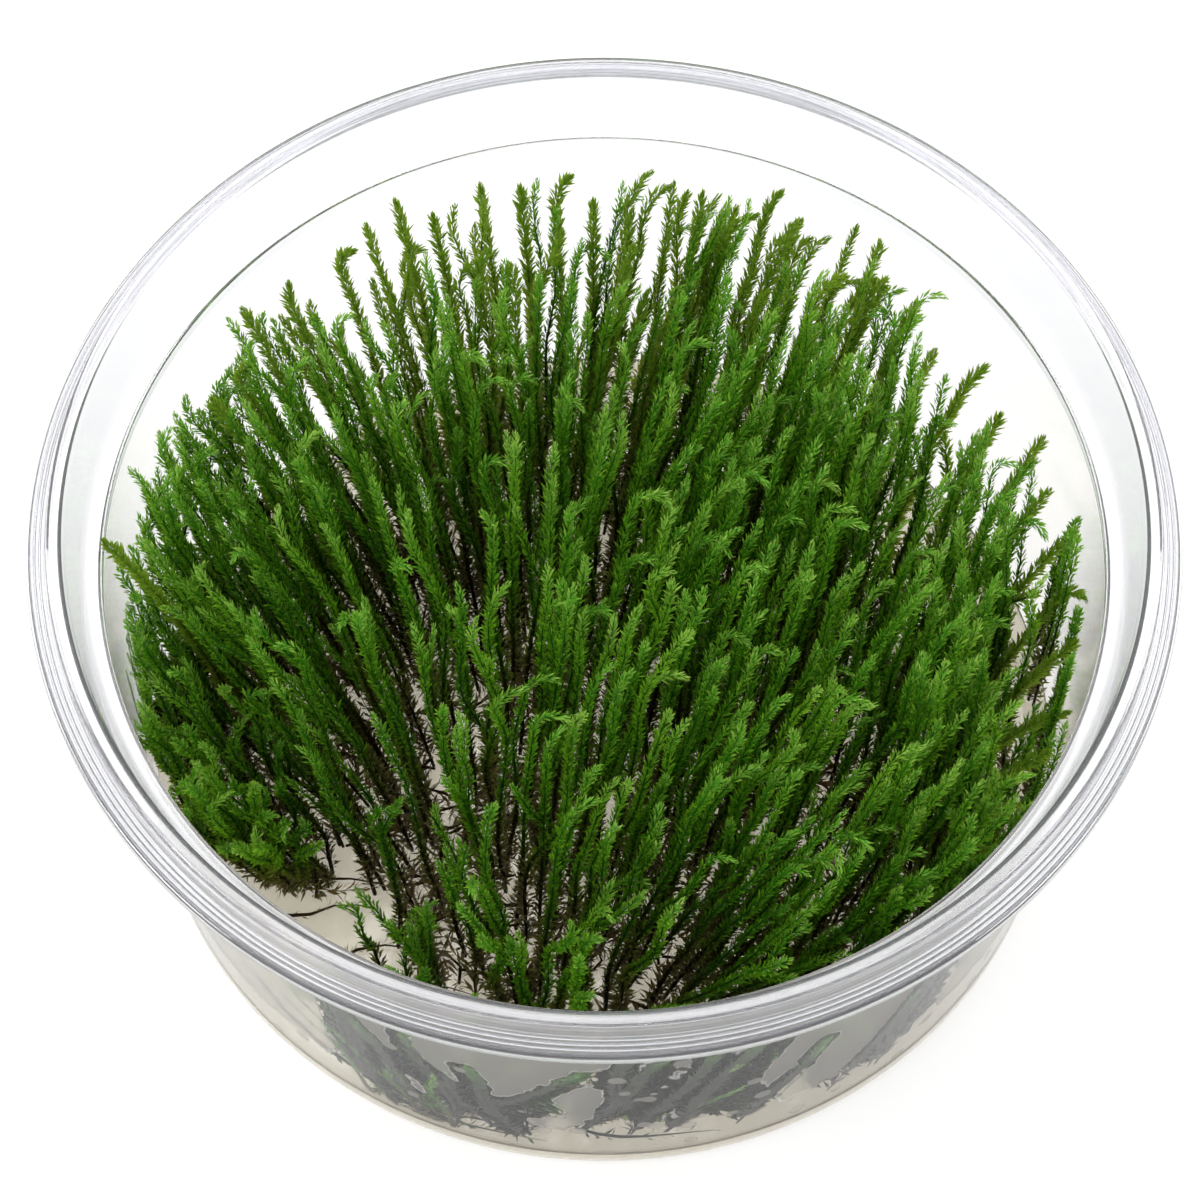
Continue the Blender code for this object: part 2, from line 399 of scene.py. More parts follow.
@dataclass(frozen=True)
class MistedPolypropylene(Polypropylene):
    """The same sheet under fine water drops, which give way to a clear film where wet moss lies on it.

    Attributes:
        mist_roughness: Roughness under the drops.
        mist_tint: Colour of the drops: a warm grey that paints in part of the shade seen through the fogged
            wall.
        mist_clearness: Share of light that passes the drops.
        ragged_mm: Size of the bays in the film's edge.
        ragged_depth: How far the bays reach, on the wet map's scale.
        bubble_mm: Distance between the air bubbles that the film holds.
        bubble_edge: Radii inside and outside a bubble's edge, as shares of that distance.
        film_edge: Wetness at the outer and the inner side of the film's edge.
        film_depth_mm: How far the film stands off the sheet.
        outline: How much less light passes at the film's edge at the front, so that the sheet's pale colour
            paints a white line round the film: a painted highlight.
        dry_mm: How far back the drops start to thin out, and where there are none left.
    """

    mist_roughness: float = 0.26
    mist_tint: str = "#d9d5c9"
    mist_clearness: float = 0.68
    outline: float = 0.9
    ragged_mm: float = 1.6
    ragged_depth: float = 0.6
    bubble_mm: float = 4.2
    bubble_edge: tuple[float, float] = (0.15, 0.25)
    film_edge: tuple[float, float] = (0.76, 0.90)
    film_depth_mm: float = 0.26
    dry_mm: tuple[float, float] = (-32.0, 12.0)

    def build(self) -> bpy.types.Material:
        """Makes the material, which follows the wet map.

        Returns:
            The finished material.
        """
        material, tree = empty_material(self.name)
        place = add_node(tree, "ShaderNodeTexCoord").outputs["Object"]
        sheet = self.add_sheet(tree, place)
        wet = add_node(tree, "ShaderNodeAttribute", {"attribute_name": WET_MAP})
        ragged = add_node(
            tree,
            "ShaderNodeTexNoise",
            values={"Scale": 1.0 / (self.ragged_mm * MM), "Detail": 1.0},
            links={"Vector": place},
        )
        cells = add_node(
            tree,
            "ShaderNodeTexVoronoi",
            values={"Scale": 1.0 / (self.bubble_mm * MM)},
            links={"Vector": place},
        )
        bubbles = add_node(
            tree,
            "ShaderNodeMapRange",
            values={
                "From Min": self.bubble_edge[0],
                "From Max": self.bubble_edge[1],
                "To Min": -1.2,
                "To Max": 0.0,
            },
            links={"Value": cells},
        )
        uneven = add_node(
            tree,
            "ShaderNodeMath",
            {"operation": "MULTIPLY_ADD"},
            {1: self.ragged_depth},
            {0: ragged, 2: wet.outputs["Fac"]},
        )
        holed = add_node(tree, "ShaderNodeMath", {"operation": "ADD"}, links={0: uneven, 1: bubbles})
        film = add_node(
            tree,
            "ShaderNodeMapRange",
            values={"From Min": self.film_edge[0], "From Max": self.film_edge[1]},
            links={"Value": holed},
        )
        depth = add_node(tree, "ShaderNodeSeparateXYZ", links={0: place})
        dry = add_node(
            tree,
            "ShaderNodeMapRange",
            values={"From Min": self.dry_mm[0] * MM, "From Max": self.dry_mm[1] * MM},
            links={"Value": depth.outputs["Y"]},
        )
        no_drops = add_node(tree, "ShaderNodeMath", {"operation": "MAXIMUM"}, links={0: film, 1: dry})
        blur = add_node(
            tree,
            "ShaderNodeMapRange",
            values={"To Min": self.mist_roughness, "To Max": self.roughness},
            links={"Value": no_drops},
        )
        share = add_node(
            tree,
            "ShaderNodeMapRange",
            values={"To Min": self.mist_clearness, "To Max": self.clearness},
            links={"Value": no_drops},
        )
        # Painted highlight: less light passes along the film's edge, so the sheet's pale colour draws a
        # white line there.
        line = add_node(tree, "ShaderNodeMath", {"operation": "PINGPONG"}, {1: 0.5}, {0: film})
        turned = add_node(
            tree,
            "ShaderNodeMapRange",
            values={"To Min": -self.outline, "To Max": 0.0},
            links={"Value": dry},
        )
        passed = add_node(
            tree, "ShaderNodeMath", {"operation": "MULTIPLY_ADD"}, links={0: line, 1: turned, 2: share}
        )
        # The drops' warm grey tint is partly painted shade.
        tint = add_node(
            tree,
            "ShaderNodeMix",
            {"data_type": "RGBA"},
            {MIX_A: linear(self.mist_tint), MIX_B: linear(self.tint)},
            {"Factor": no_drops},
        )
        edge = add_node(
            tree,
            "ShaderNodeBump",
            {"invert": True},
            {"Strength": 1.0, "Distance": self.film_depth_mm * MM},
            {"Height": film, "Normal": sheet.inputs["Normal"].links[0].from_socket},
        )
        inputs = {
            "Base Color": tint.outputs[MIX_RESULT],
            "Roughness": blur,
            "Transmission Weight": passed,
            "Normal": edge,
        }
        connect(sheet, inputs)
        return material


# Dry clean sheet: clear and bright, with a faint lavender cast where it is seen edge-on.
CLEAR_SHEET = Polypropylene("clear_drawn_polypropylene")
# The wall: drawn thinner, with no milkiness. Its low index keeps its mirror image of the white floor weak,
# so that the moss behind it stays dark.
WALL_IOR = 1.13
WALL_SHEET = Polypropylene("thin_drawn_polypropylene", clearness=1.0, ior=WALL_IOR)
# The wall's inner face: fine water drops blur and whiten what stands back from it.
MISTED_SHEET = MistedPolypropylene(
    "misted_drawn_polypropylene", clearness=1.0, tint="#f8f7f2", ior=WALL_IOR
)
# The base: a film of peat-stained water over slightly milky sheet, which gives it a warm cast.
DAMP_BASE = Polypropylene("damp_drawn_polypropylene", roughness=0.12, clearness=0.76, tint="#f1ebdb")


@dataclass(frozen=True)
class StudioFloor:
    """Opal acrylic, cast and sanded, lit softly from below: even, white, with no gloss and hardly a shadow.

    Attributes:
        name: The material's name.
        colour: Colour of the acrylic.
        roughness: Roughness of its sanded face.
        light: Colour of the light in it.
        glow: Strength of that light.
    """

    name: str = "sanded_opal_acrylic"
    colour: str = "#bcbcbc"
    roughness: float = 0.9
    light: str = "#fffffe"
    glow: float = 0.61

    def build(self) -> bpy.types.Material:
        """Makes the material.

        Returns:
            The finished material.
        """
        material, tree = empty_material(self.name)
        opal = add_node(
            tree,
            "ShaderNodeBsdfPrincipled",
            values={
                "Base Color": linear(self.colour),
                "Roughness": self.roughness,
                "Emission Color": linear(self.light),
                "Emission Strength": self.glow,
            },
        )
        add_node(tree, "ShaderNodeOutputMaterial", links={"Surface": opal})
        return material


# ---------------------------------------------------------------------------------------------- the cup


@dataclass
class Cup:
    """The clear cup: rolled rim, lid seat with fine ridges, stepped shoulder, tapered wall, foot ring.

    Radii and heights are those of the side that is seen from above and from inside. The sheet's thickness
    lies behind it.

    Attributes:
        sheet: Thickness of the sheet.
        lip_drop: How far the lip hangs below the flange.
        flange_below_rim: How far the flange lies below the rim.
        flange_width: Width of the band that carries the ridges.
        ridge_count: Number of ridges on the flange.
        ridge_height: Their height.
        bead_outside: Outer radius of the rim's bead.
        bead_inside: Its inner radius.
        shoulder_below_rim: How far the shoulder lies below the rim.
        shoulder_outside: Radius where the neck meets the shoulder.
        shoulder_inside: Radius where the wall starts below the shoulder.
        clear_reach: How far below the shoulder the dry clear sheet goes.
        wall_foot: The wall's radius at its foot.
        base_round: Radius of the turn from wall to foot ring.
        foot_ring_width: Width of the ring that the cup stands on.
        floor_height: Height of the raised floor.
        steps: Number of faces round the cup.
        wall_row: Greatest height of a row of faces on the wall.
        film_reach: How far round wet moss the water film reaches.
        puddle_edge: Heights where the gathered water starts to thin out, and where it ends.
        rim_radius: Radius of the lip.
        height: The cup's height.
    """

    sheet: float = 0.45 * MM
    lip_drop: float = 1.4 * MM
    flange_below_rim: float = 2.6 * MM
    flange_width: float = 1.85 * MM
    ridge_count: int = 3
    ridge_height: float = 0.14 * MM
    bead_outside: float = 56.3 * MM
    bead_inside: float = 54.75 * MM
    shoulder_below_rim: float = 7.3 * MM
    shoulder_outside: float = 52.65 * MM
    shoulder_inside: float = 51.3 * MM
    clear_reach: float = 2.0 * MM
    wall_foot: float = 48.8 * MM
    base_round: float = 3.6 * MM
    foot_ring_width: float = 1.8 * MM
    floor_height: float = 1.6 * MM
    steps: int = 256
    wall_row: float = 1.3 * MM
    film_reach: float = 1.3 * MM
    puddle_edge: tuple[float, float] = (8.0 * MM, 13.0 * MM)
    rim_radius: float = field(init=False)
    height: float = field(init=False)

    def __post_init__(self) -> None:
        """Takes the rim's radius and the height from the CAD cup."""
        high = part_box("cup")[1]
        self.rim_radius = high[0]
        self.height = high[2]

    @property
    def shoulder_height(self) -> float:
        """Height of the step that the shoulder makes."""
        return self.height - self.shoulder_below_rim

    @property
    def wall_bottom(self) -> float:
        """Height where the rounding of the base ends and the straight wall starts."""
        return self.sheet + self.base_round

    def inside_radius(self, height: float | np.ndarray) -> float | np.ndarray:
        """Returns the inner face's radius at a height.

        Args:
            height: Height above the table, or an array of heights.

        Returns:
            The radius of the cup's inner face there.
        """
        heights = [
            self.floor_height,
            self.wall_bottom,
            self.shoulder_height - 0.6 * MM,
            self.shoulder_height,
            self.height,
        ]
        radii = [
            self.wall_foot - 0.8 * self.base_round,
            self.wall_foot,
            self.shoulder_inside,
            self.shoulder_outside,
            self.bead_inside,
        ]
        return np.interp(height, heights, radii)

    def on_wall(self, azimuth: np.ndarray, height: np.ndarray, inset: float) -> np.ndarray:
        """Returns points a little inside the wall.

        Args:
            azimuth: Directions in degrees.
            height: Heights above the table.
            inset: Distance from the wall's inner face.

        Returns:
            One point for each direction and height.
        """
        radius = self.inside_radius(height) - inset
        turn = np.radians(azimuth)
        return np.stack([radius * np.cos(turn), radius * np.sin(turn), height], axis=1)

    def corners(self) -> list[tuple[float, float, float]]:
        """Lists the corners of the half section.

        Returns:
            Radius, height and rounding of each corner, from the lip to the axis.
        """
        flange = self.height - self.flange_below_rim
        points = [
            (self.rim_radius, flange - self.lip_drop, 0.0),
            (self.rim_radius, flange - 0.05 * MM, 0.35 * MM),
        ]
        pitch = self.flange_width / (self.ridge_count + 0.5)
        for ridge in range(self.ridge_count):
            outer = self.rim_radius - 0.45 * MM - ridge * pitch
            points += [
                (outer, flange, 0.05 * MM),
                (outer - 0.22 * pitch, flange + self.ridge_height, 0.05 * MM),
                (outer - 0.46 * pitch, flange + self.ridge_height, 0.05 * MM),
                (outer - 0.68 * pitch, flange, 0.05 * MM),
            ]
        ring_inside = self.wall_foot - self.base_round - self.foot_ring_width
        points += [
            (self.bead_outside + 0.12 * MM, flange, 0.1 * MM),
            (self.bead_outside, self.height, 0.45 * MM),
            (self.bead_inside, self.height, 0.45 * MM),
            (self.shoulder_outside, self.shoulder_height, 0.5 * MM),
            (self.shoulder_inside, self.shoulder_height - 0.3 * MM, 0.35 * MM),
            (self.wall_foot, self.sheet, self.base_round),
            (ring_inside, self.sheet, 0.3 * MM),
            (ring_inside - self.floor_height, self.floor_height, 0.5 * MM),
            (0.0, self.floor_height, 0.0),
        ]
        return points

    def profile(self) -> list[Vector]:
        """Draws the half section with its corners rounded and its tall runs in short steps.

        Returns:
            The section's points, from the lip to the axis.
        """
        corners = [(Vector((radius, 0.0, height)), turn) for radius, height, turn in self.corners()]
        line = [corners[0][0]]
        for (before, _), (point, rounding), (after, _) in zip(corners, corners[1:], corners[2:]):
            back, ahead = before - point, after - point
            reach = min(rounding, 0.45 * back.length, 0.45 * ahead.length)
            start = point + back.normalized() * reach
            end = point + ahead.normalized() * reach
            rise = abs(start.z - line[-1].z)
            extra = int(rise / self.wall_row)
            line += [line[-1].lerp(start, (step + 1) / (extra + 1)) for step in range(extra)]
            steps = 8 if reach > 1.0 * MM else 3
            for step in range(steps + 1):
                share = step / steps
                line.append(start.lerp(point, share).lerp(point.lerp(end, share), share))
        line.append(corners[-1][0])
        return line

    def turned_shell(self) -> bmesh.types.BMesh:
        """Turns the half section about the axis.

        Returns:
            The bare shell. Its faces point out of the cup, the way in which the sheet's thickness goes.
        """
        shape = bmesh.new()
        line = [shape.verts.new(point) for point in self.profile()]
        edges = [shape.edges.new(pair) for pair in zip(line, line[1:])]
        bmesh.ops.spin(
            shape,
            geom=line + edges,
            cent=(0.0, 0.0, 0.0),
            axis=(0.0, 0.0, 1.0),
            angle=2.0 * math.pi,
            steps=self.steps,
            use_merge=True,
        )
        bmesh.ops.remove_doubles(shape, verts=shape.verts, dist=0.01 * MM)
        bmesh.ops.recalc_face_normals(shape, faces=shape.faces)
        base = [face for face in shape.faces if face.calc_center_median().z < self.floor_height + 0.1 * MM]
        if sum(face.normal.z * face.calc_area() for face in base) > 0.0:
            bmesh.ops.reverse_faces(shape, faces=shape.faces)
        return shape

    def face_finish(self, height: float) -> int:
        """Chooses the material of a face.

        Args:
            height: Height of the face's middle.

        Returns:
            The number of the sheet's outer material there; its inner one has the next number.
        """
        if height > self.shoulder_height - self.clear_reach:
            return 0
        return 2 if height > self.wall_bottom else 4

    def wetness(self, mesh: bpy.types.Mesh, touching: list[np.ndarray]) -> np.ndarray:
        """Works out how wet each point of the cup is.

        Args:
            mesh: The cup's mesh.
            touching: Lines along which moss lies on the wall.

        Returns:
            For each corner of the mesh 1 or more on such a line or low down, where water has gathered,
            falling to 0 away from both.
        """
        places = np.empty(len(mesh.vertices) * 3)
        mesh.vertices.foreach_get("co", places)
        places = places.reshape(-1, 3)
        wet = np.zeros(len(places))
        for line in touching:
            gaps = np.linalg.norm(places[:, None, :] - line[None, :, :], axis=2).min(axis=1)
            wet += np.exp(-((gaps / (1.5 * self.film_reach)) ** 2))
        return wet + np.interp(places[:, 2], self.puddle_edge, (1.0, 0.0))

    def build(self, touching: list[np.ndarray]) -> bpy.types.Object:
        """Makes the cup.

        Args:
            touching: Lines along which moss lies on the wall.

        Returns:
            The finished cup.
        """
        shape = self.turned_shell()
        for face in shape.faces:
            face.smooth = True
            face.material_index = self.face_finish(face.calc_center_median().z)
        mesh = bpy.data.meshes.new("clear_cup")
        shape.to_mesh(mesh)
        shape.free()
        wet = mesh.attributes.new(WET_MAP, "FLOAT", "POINT")
        wet.data.foreach_set("value", self.wetness(mesh, touching))
        clear, thin, misted, damp = (
            finish.build() for finish in (CLEAR_SHEET, WALL_SHEET, MISTED_SHEET, DAMP_BASE)
        )
        for finish in (clear, clear, thin, misted, damp, damp):
            mesh.materials.append(finish)
        cup = bpy.data.objects.new("clear_cup", mesh)
        bpy.context.scene.collection.objects.link(cup)
        wall = cup.modifiers.new("sheet", "SOLIDIFY")
        wall.thickness = self.sheet
        wall.offset = 1.0
        wall.use_even_offset = True
        wall.material_offset = 1
        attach(cup, "root")
        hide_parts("cup")
        return cup


# ---------------------------------------------------------------------------------------------- the moss


class TipForm(Enum):
    """How far, in degrees, a shoot's tip bends over."""

    STRAIGHT = 0.0
    NODDING = 40.0
    HOOKED = 110.0


@dataclass(frozen=True)
class Leaf:
    """One moss leaf: a keeled, narrow, long-pointed blade that bends outwards.

    Attributes:
        columns: Faces across the blade.
        rows: Faces along it.
        keel: How deep its middle is folded, as a share of its length.
        bend: How far its tip bends down, as a share of its length.
    """

    columns: int
    rows: int
    keel: float = 0.06
    bend: float = 0.16

    def template(self) -> tuple[np.ndarray, np.ndarray]:
        """Makes the blade from a small grid.

        Returns:
            Corners as (across in half widths, along, up), and triangles of corner numbers.
        """
        shape = bmesh.new()
        bmesh.ops.create_grid(shape, x_segments=self.columns, y_segments=self.rows, size=1.0)
        for vert in shape.verts:
            along = 0.5 * (vert.co.y + 1.0)
            width = max(0.0, math.sin(math.pi * along**0.63))
            middle = (1.0 - abs(vert.co.x)) * math.sin(math.pi * along)
            vert.co = Vector((vert.co.x * width, along, -self.keel * middle - self.bend * along**2.2))
        bmesh.ops.remove_doubles(shape, verts=shape.verts, dist=0.001)
        bmesh.ops.triangulate(shape, faces=shape.faces)
        shape.verts.index_update()
        corners = np.array([vert.co for vert in shape.verts])
        triangles = np.array([[vert.index for vert in face.verts] for face in shape.faces])
        shape.free()
        return corners, triangles


KEELED_LEAF = Leaf(columns=2, rows=2).template()
PLAIN_LEAF = Leaf(columns=1, rows=2).template()


ALL_DEAD = 9.0  # a dead share so far past the tip that every leaf is dead
# How far leaves stand off the stem, in degrees, at distances from the shoot's tip.
SPREAD_PLACES = (0.0, 1.0 * MM, 3.0 * MM, 9.0 * MM)
LEAF_SPREAD = (8.0, 19.0, 25.0, 22.0)


@dataclass
class Shoot:
    """One shoot: a thin stem along a line, with leaves set round it in a spiral.

    Attributes:
        line: Points of the stem's centre line, from root to tip.
        tone: From 0, dark, to 1, pale.
        leaf_length: Length of a full-grown leaf.
        leaf_width: Half width of a leaf, as a share of its length.
        leaf_spacing: Distance along the stem from one leaf to the next.
        stem_radius: Radius of the stem.
        dead_share: How far up the shoot the leaves are dead.
        first_leaf: Distance from the root to the first leaf, as a share of the length.
        age: Place of the root end in the growth map.
        stem_sides: Number of the stem's sides.
        keeled_reach: How far down from the tip the leaves are drawn with their keel.
    """

    line: np.ndarray
    tone: float = 0.3
    leaf_length: float = 1.2 * MM
    leaf_width: float = 0.145
    leaf_spacing: float = 0.09 * MM
    stem_radius: float = 0.2 * MM
    dead_share: float = 0.34
    first_leaf: float = 0.04
    age: float = 0.0
    stem_sides: int = 4
    keeled_reach: float = 7.0 * MM

    def stations(self, shares: np.ndarray) -> tuple[np.ndarray, np.ndarray, np.ndarray, np.ndarray]:
        """Returns places along the line and the frame of directions there.

        Args:
            shares: Shares of the line's length, from 0 to 1.

        Returns:
            Points, tangents and two directions across the stem, one row for each share.
        """
        steps = np.linalg.norm(np.diff(self.line, axis=0), axis=1)
        reach = np.concatenate(([0.0], np.cumsum(steps)))
        reach /= reach[-1]
        points = np.stack([np.interp(shares, reach, self.line[:, axis]) for axis in range(3)], axis=1)
        slopes = np.gradient(self.line, reach, axis=0)
        tangents = np.stack([np.interp(shares, reach, slopes[:, axis]) for axis in range(3)], axis=1)
        tangents /= np.linalg.norm(tangents, axis=1, keepdims=True)
        across = np.cross(slopes[0], slopes[-1])
        if np.linalg.norm(across) < 1e-3 * np.linalg.norm(slopes[0]) ** 2:
            across = np.cross(slopes[0], (0.3, 1.0, 0.1))
        first = across - tangents * (tangents @ across)[:, None]
        first /= np.linalg.norm(first, axis=1, keepdims=True)
        return points, tangents, first, np.cross(tangents, first)

    def length(self) -> float:
        """Returns the line's length."""
        return float(np.linalg.norm(np.diff(self.line, axis=0), axis=1).sum())

    def grown(self, shares: np.ndarray) -> np.ndarray:
        """Returns the growth map's along value at shares of the line's length."""
        return 0.01 + 0.96 * (self.age + (1.0 - self.age) * shares)

    def stem(self) -> tuple[np.ndarray, np.ndarray, np.ndarray]:
        """Makes the stem, thin and tapered.

        Returns:
            Its corners, triangles and growth map.
        """
        count = max(6, int(self.length() / (2.2 * MM)))
        shares = np.linspace(0.0, 1.0, count)
        points, _, first, second = self.stations(shares)
        sides = self.stem_sides
        turns = np.linspace(0.0, 2.0 * math.pi, sides, endpoint=False)
        radius = self.stem_radius * np.interp(shares, (0.0, 0.3, 0.55, 1.0), (1.0, 1.1, 0.6, 0.15))
        ring = np.cos(turns)[:, None] * first[:, None, :] + np.sin(turns)[:, None] * second[:, None, :]
        corners = (points[:, None, :] + radius[:, None, None] * ring).reshape(-1, 3)
        low = np.arange(count - 1)[:, None] * sides + np.arange(sides)
        near = np.arange(count - 1)[:, None] * sides + (np.arange(sides) + 1) % sides
        quads = np.stack([low, near, near + sides, low + sides], axis=2).reshape(-1, 4)
        triangles = np.concatenate([quads[:, [0, 1, 2]], quads[:, [0, 2, 3]]])
        tone = STEM_STRIP * (0.1 + 0.8 * (2 * np.arange(sides) % sides) / sides)
        growth = np.stack([np.repeat(self.grown(shares), sides), np.tile(tone, count)], axis=1)
        return corners, triangles, growth

    def leaves(self, chance: np.random.Generator) -> list[tuple[np.ndarray, np.ndarray, np.ndarray]]:
        """Makes the leaves: small and upright at the tip, thinned out and spread wide where they are dead.

        Args:
            chance: Source of the leaves' small differences.

        Returns:
            Corners, triangles and growth map of the keeled leaves near the tip, then of the others.
        """
        length = self.length()
        count = int(length * (1.0 - self.first_leaf) / self.leaf_spacing)
        shares = np.linspace(self.first_leaf, 0.997, count)
        alive = np.clip((shares - self.dead_share * 0.6) / max(1e-3, self.dead_share * 0.7), 0.0, 1.0)
        kept = chance.random(count) < 0.75 + 0.25 * alive
        order = np.arange(count)[kept]
        shares, alive = shares[kept], alive[kept]
        count = len(shares)
        points, tangents, first, second = self.stations(shares)
        from_tip = (1.0 - shares) * length
        size = self.leaf_length * np.clip(0.45 + from_tip / (3.2 * MM), 0.0, 1.0)
        size *= chance.uniform(0.75, 1.15, count) * (1.25 - 0.25 * alive)
        width = size * self.leaf_width * chance.uniform(0.85, 1.15, count) * (0.85 + 0.15 * alive)
        spread = np.radians(
            np.interp(from_tip, SPREAD_PLACES, LEAF_SPREAD)
            + (1.0 - alive) * 13.0
            + np.abs(chance.normal(0.0, 9.0, count))
        )
        turn = order * GOLDEN_ANGLE + chance.normal(0.0, 0.25, count)
        outward = np.cos(turn)[:, None] * first + np.sin(turn)[:, None] * second
        along = np.cos(spread)[:, None] * tangents + np.sin(spread)[:, None] * outward
        upward = np.sin(spread)[:, None] * tangents - np.cos(spread)[:, None] * outward
        across = np.cross(along, upward)
        roll = chance.normal(0.0, 0.35, count)[:, None]
        across, upward = (
            across * np.cos(roll) + upward * np.sin(roll),
            upward * np.cos(roll) - across * np.sin(roll),
        )
        start = points + outward * self.stem_radius * 0.6
        curl = chance.uniform(-0.5, 1.3, count) + 1.2 * (1.0 - alive)
        curl -= 2.6 * np.clip(1.0 - from_tip / (1.8 * MM), 0.0, 1.0)
        # Each leaf's tone differs at random; about one leaf in eight is also made much paler, a painted
        # highlight for the glint of a wet leaf.
        pale = self.tone + chance.normal(0.0, 0.10, count) + 0.75 * (chance.random(count) < 0.12)
        pale = np.clip(pale, 0.0, 0.9)
        keeled = (alive > 0.3) & (from_tip < self.keeled_reach)
        found = []
        for chosen, (blade, triangles) in ((keeled, KEELED_LEAF), (~keeled, PLAIN_LEAF)):
            some = int(chosen.sum())
            corners = (
                start[chosen, None, :]
                + across[chosen, None, :] * (width[chosen, None] * blade[:, 0])[:, :, None]
                + along[chosen, None, :] * (size[chosen, None] * blade[:, 1])[:, :, None]
                + upward[chosen, None, :] * ((size * curl)[chosen, None] * blade[:, 2])[:, :, None]
            ).reshape(-1, 3)
            numbers = (np.arange(some)[:, None, None] * len(blade) + triangles).reshape(-1, 3)
            # Toward its tip a leaf turns pale: partly the tip's own paler colour, partly a painted
            # highlight for its wet glint.
            tone = STEM_STRIP + 0.03 + 0.84 * (0.45 * pale[chosen, None] + 0.55 * blade[:, 1] ** 3.0)
            age = self.grown(shares[chosen])[:, None] + 0.02 * blade[:, 1] + 0.006 * blade[:, 0]
            found.append((corners, numbers, np.stack([age.reshape(-1), tone.reshape(-1)], axis=1)))
        return found


@dataclass
class Sward:
    """Shoots gathered into one piece.

    Attributes:
        name: The piece's name.
        chance: Source of the leaves' small differences.
        cup: The cup that the piece stays inside.
        corners: Corners of each stem and each set of leaves.
        triangles: Their triangles.
        growth: Their growth maps.
        total: Number of corners so far.
        clearance: Least distance from the cup's inner face.
    """

    name: str
    chance: np.random.Generator
    cup: Cup
    corners: list[np.ndarray] = field(default_factory=list)
    triangles: list[np.ndarray] = field(default_factory=list)
    growth: list[np.ndarray] = field(default_factory=list)
    total: int = 0
    clearance: float = 0.06 * MM

    def add(self, *shoots: Shoot) -> None:
        """Adds the stems and leaves of shoots.

        Args:
            shoots: The shoots.
        """
        for shoot in shoots:
            for corners, triangles, growth in (shoot.stem(), *shoot.leaves(self.chance)):
                self.corners.append(corners)
                self.triangles.append(triangles + self.total)
                self.growth.append(growth)
                self.total += len(corners)

    def kept_inside(self, corners: np.ndarray) -> np.ndarray:
        """Lays corners that would pass the cup's wall or floor against it.

        Args:
            corners: The piece's corners.

        Returns:
            The corners, all inside the cup.
        """
        out = corners.copy()
        out[:, 2] = np.maximum(out[:, 2], self.cup.floor_height + self.clearance)
        radius = np.hypot(out[:, 0], out[:, 1])
        limit = self.cup.inside_radius(out[:, 2]) - self.clearance
        out[:, :2] *= np.minimum(1.0, limit / np.maximum(radius, 1e-9))[:, None]
        return out

    def build(self, finish: bpy.types.Material, slot: str, *stands_for: str) -> bpy.types.Object:
        """Makes the piece.

        Args:
            finish: The material.
            slot: Not used.
            stands_for: CAD nodes that the piece stands for.

        Returns:
            The finished piece.
        """
        corners = self.kept_inside(np.concatenate(self.corners))
        triangles = np.concatenate(self.triangles)
        growth = np.concatenate(self.growth)
        mesh = bpy.data.meshes.new(self.name)
        mesh.vertices.add(len(corners))
        mesh.vertices.foreach_set("co", corners.astype(np.float32).reshape(-1))
        mesh.loops.add(triangles.size)
        mesh.loops.foreach_set("vertex_index", triangles.astype(np.int32).reshape(-1))
        mesh.polygons.add(len(triangles))
        mesh.polygons.foreach_set("loop_start", np.arange(0, triangles.size, 3, dtype=np.int32))
        mesh.polygons.foreach_set("use_smooth", np.ones(len(triangles), dtype=bool))
        mesh.update(calc_edges=True)
        by_loop = growth[triangles.reshape(-1)].astype(np.float32).reshape(-1)
        for name in (GROWTH_MAP, BAKE_MAP):
            mesh.uv_layers.new(name=name).uv.foreach_set("vector", by_loop)
        mesh.materials.append(finish)
        piece = bpy.data.objects.new(self.name, mesh)
        bpy.context.scene.collection.objects.link(piece)
        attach(piece, "root")
        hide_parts(*stands_for)
        LOG.info("%s: %d triangles", self.name, len(triangles))
        return piece


@dataclass(frozen=True)
class PressedShoot:
    """A shoot that lies on the wall.

    Attributes:
        start: Azimuth of its root in degrees.
        start_height: Height of its root.
        end: Azimuth of its tip in degrees.
        end_height: Height of its tip.
    """

    start: float
    start_height: float
    end: float
    end_height: float

    def line(self, cup: Cup, inset: float, count: int = 30) -> np.ndarray:
        """Returns the shoot's line along the wall, slightly wavy.

        Args:
            cup: The cup.
            inset: Distance from the wall's inner face.
            count: Number of points.

        Returns:
            The line's points.
        """
        shares = np.linspace(0.0, 1.0, count)
        wave = np.sin(shares * 7.0 + self.start) * (1.0 - 0.5 * shares)
        azimuth = self.start + (self.end - self.start) * shares + 0.9 * wave
        height = self.start_height + (self.end_height - self.start_height) * shares + 0.6 * MM * wave
        return cup.on_wall(azimuth, height, inset)


def pressed_shoots(*rows: tuple[float, float, float, float]) -> tuple[PressedShoot, ...]:
    """Returns pressed shoots from rows of azimuth and height in millimetres at the start and at the end."""
    return tuple(PressedShoot(start, low * MM, end, high * MM) for start, low, end, high in rows)


# Shoots plastered on the wet wall, round the front from left to right.
FRONT_WALL_SHOOTS = pressed_shoots(
    (240.0, 6.5, 235.5, 27.0),
    (242.0, 8.0, 237.0, 31.0),
    (248.0, 9.0, 240.0, 24.0),
    (251.0, 8.0, 245.5, 30.0),
    (262.0, 5.0, 249.0, 21.0),
    (259.0, 6.0, 253.0, 24.0),
    (254.0, 12.0, 264.0, 16.0),
    (256.0, 13.0, 268.0, 27.0),
    (269.0, 11.0, 279.0, 33.0),
    (271.0, 16.0, 273.0, 36.0),
    (274.0, 11.0, 285.0, 35.0),
    (277.0, 8.5, 289.0, 31.0),
    (283.0, 9.0, 293.0, 34.0),
    (286.0, 8.0, 297.0, 24.0),
    (299.0, 8.0, 311.0, 22.0),
    (303.0, 6.5, 314.0, 27.0),
    (307.0, 7.0, 318.0, 29.0),
    (311.0, 8.0, 322.0, 33.0),
)
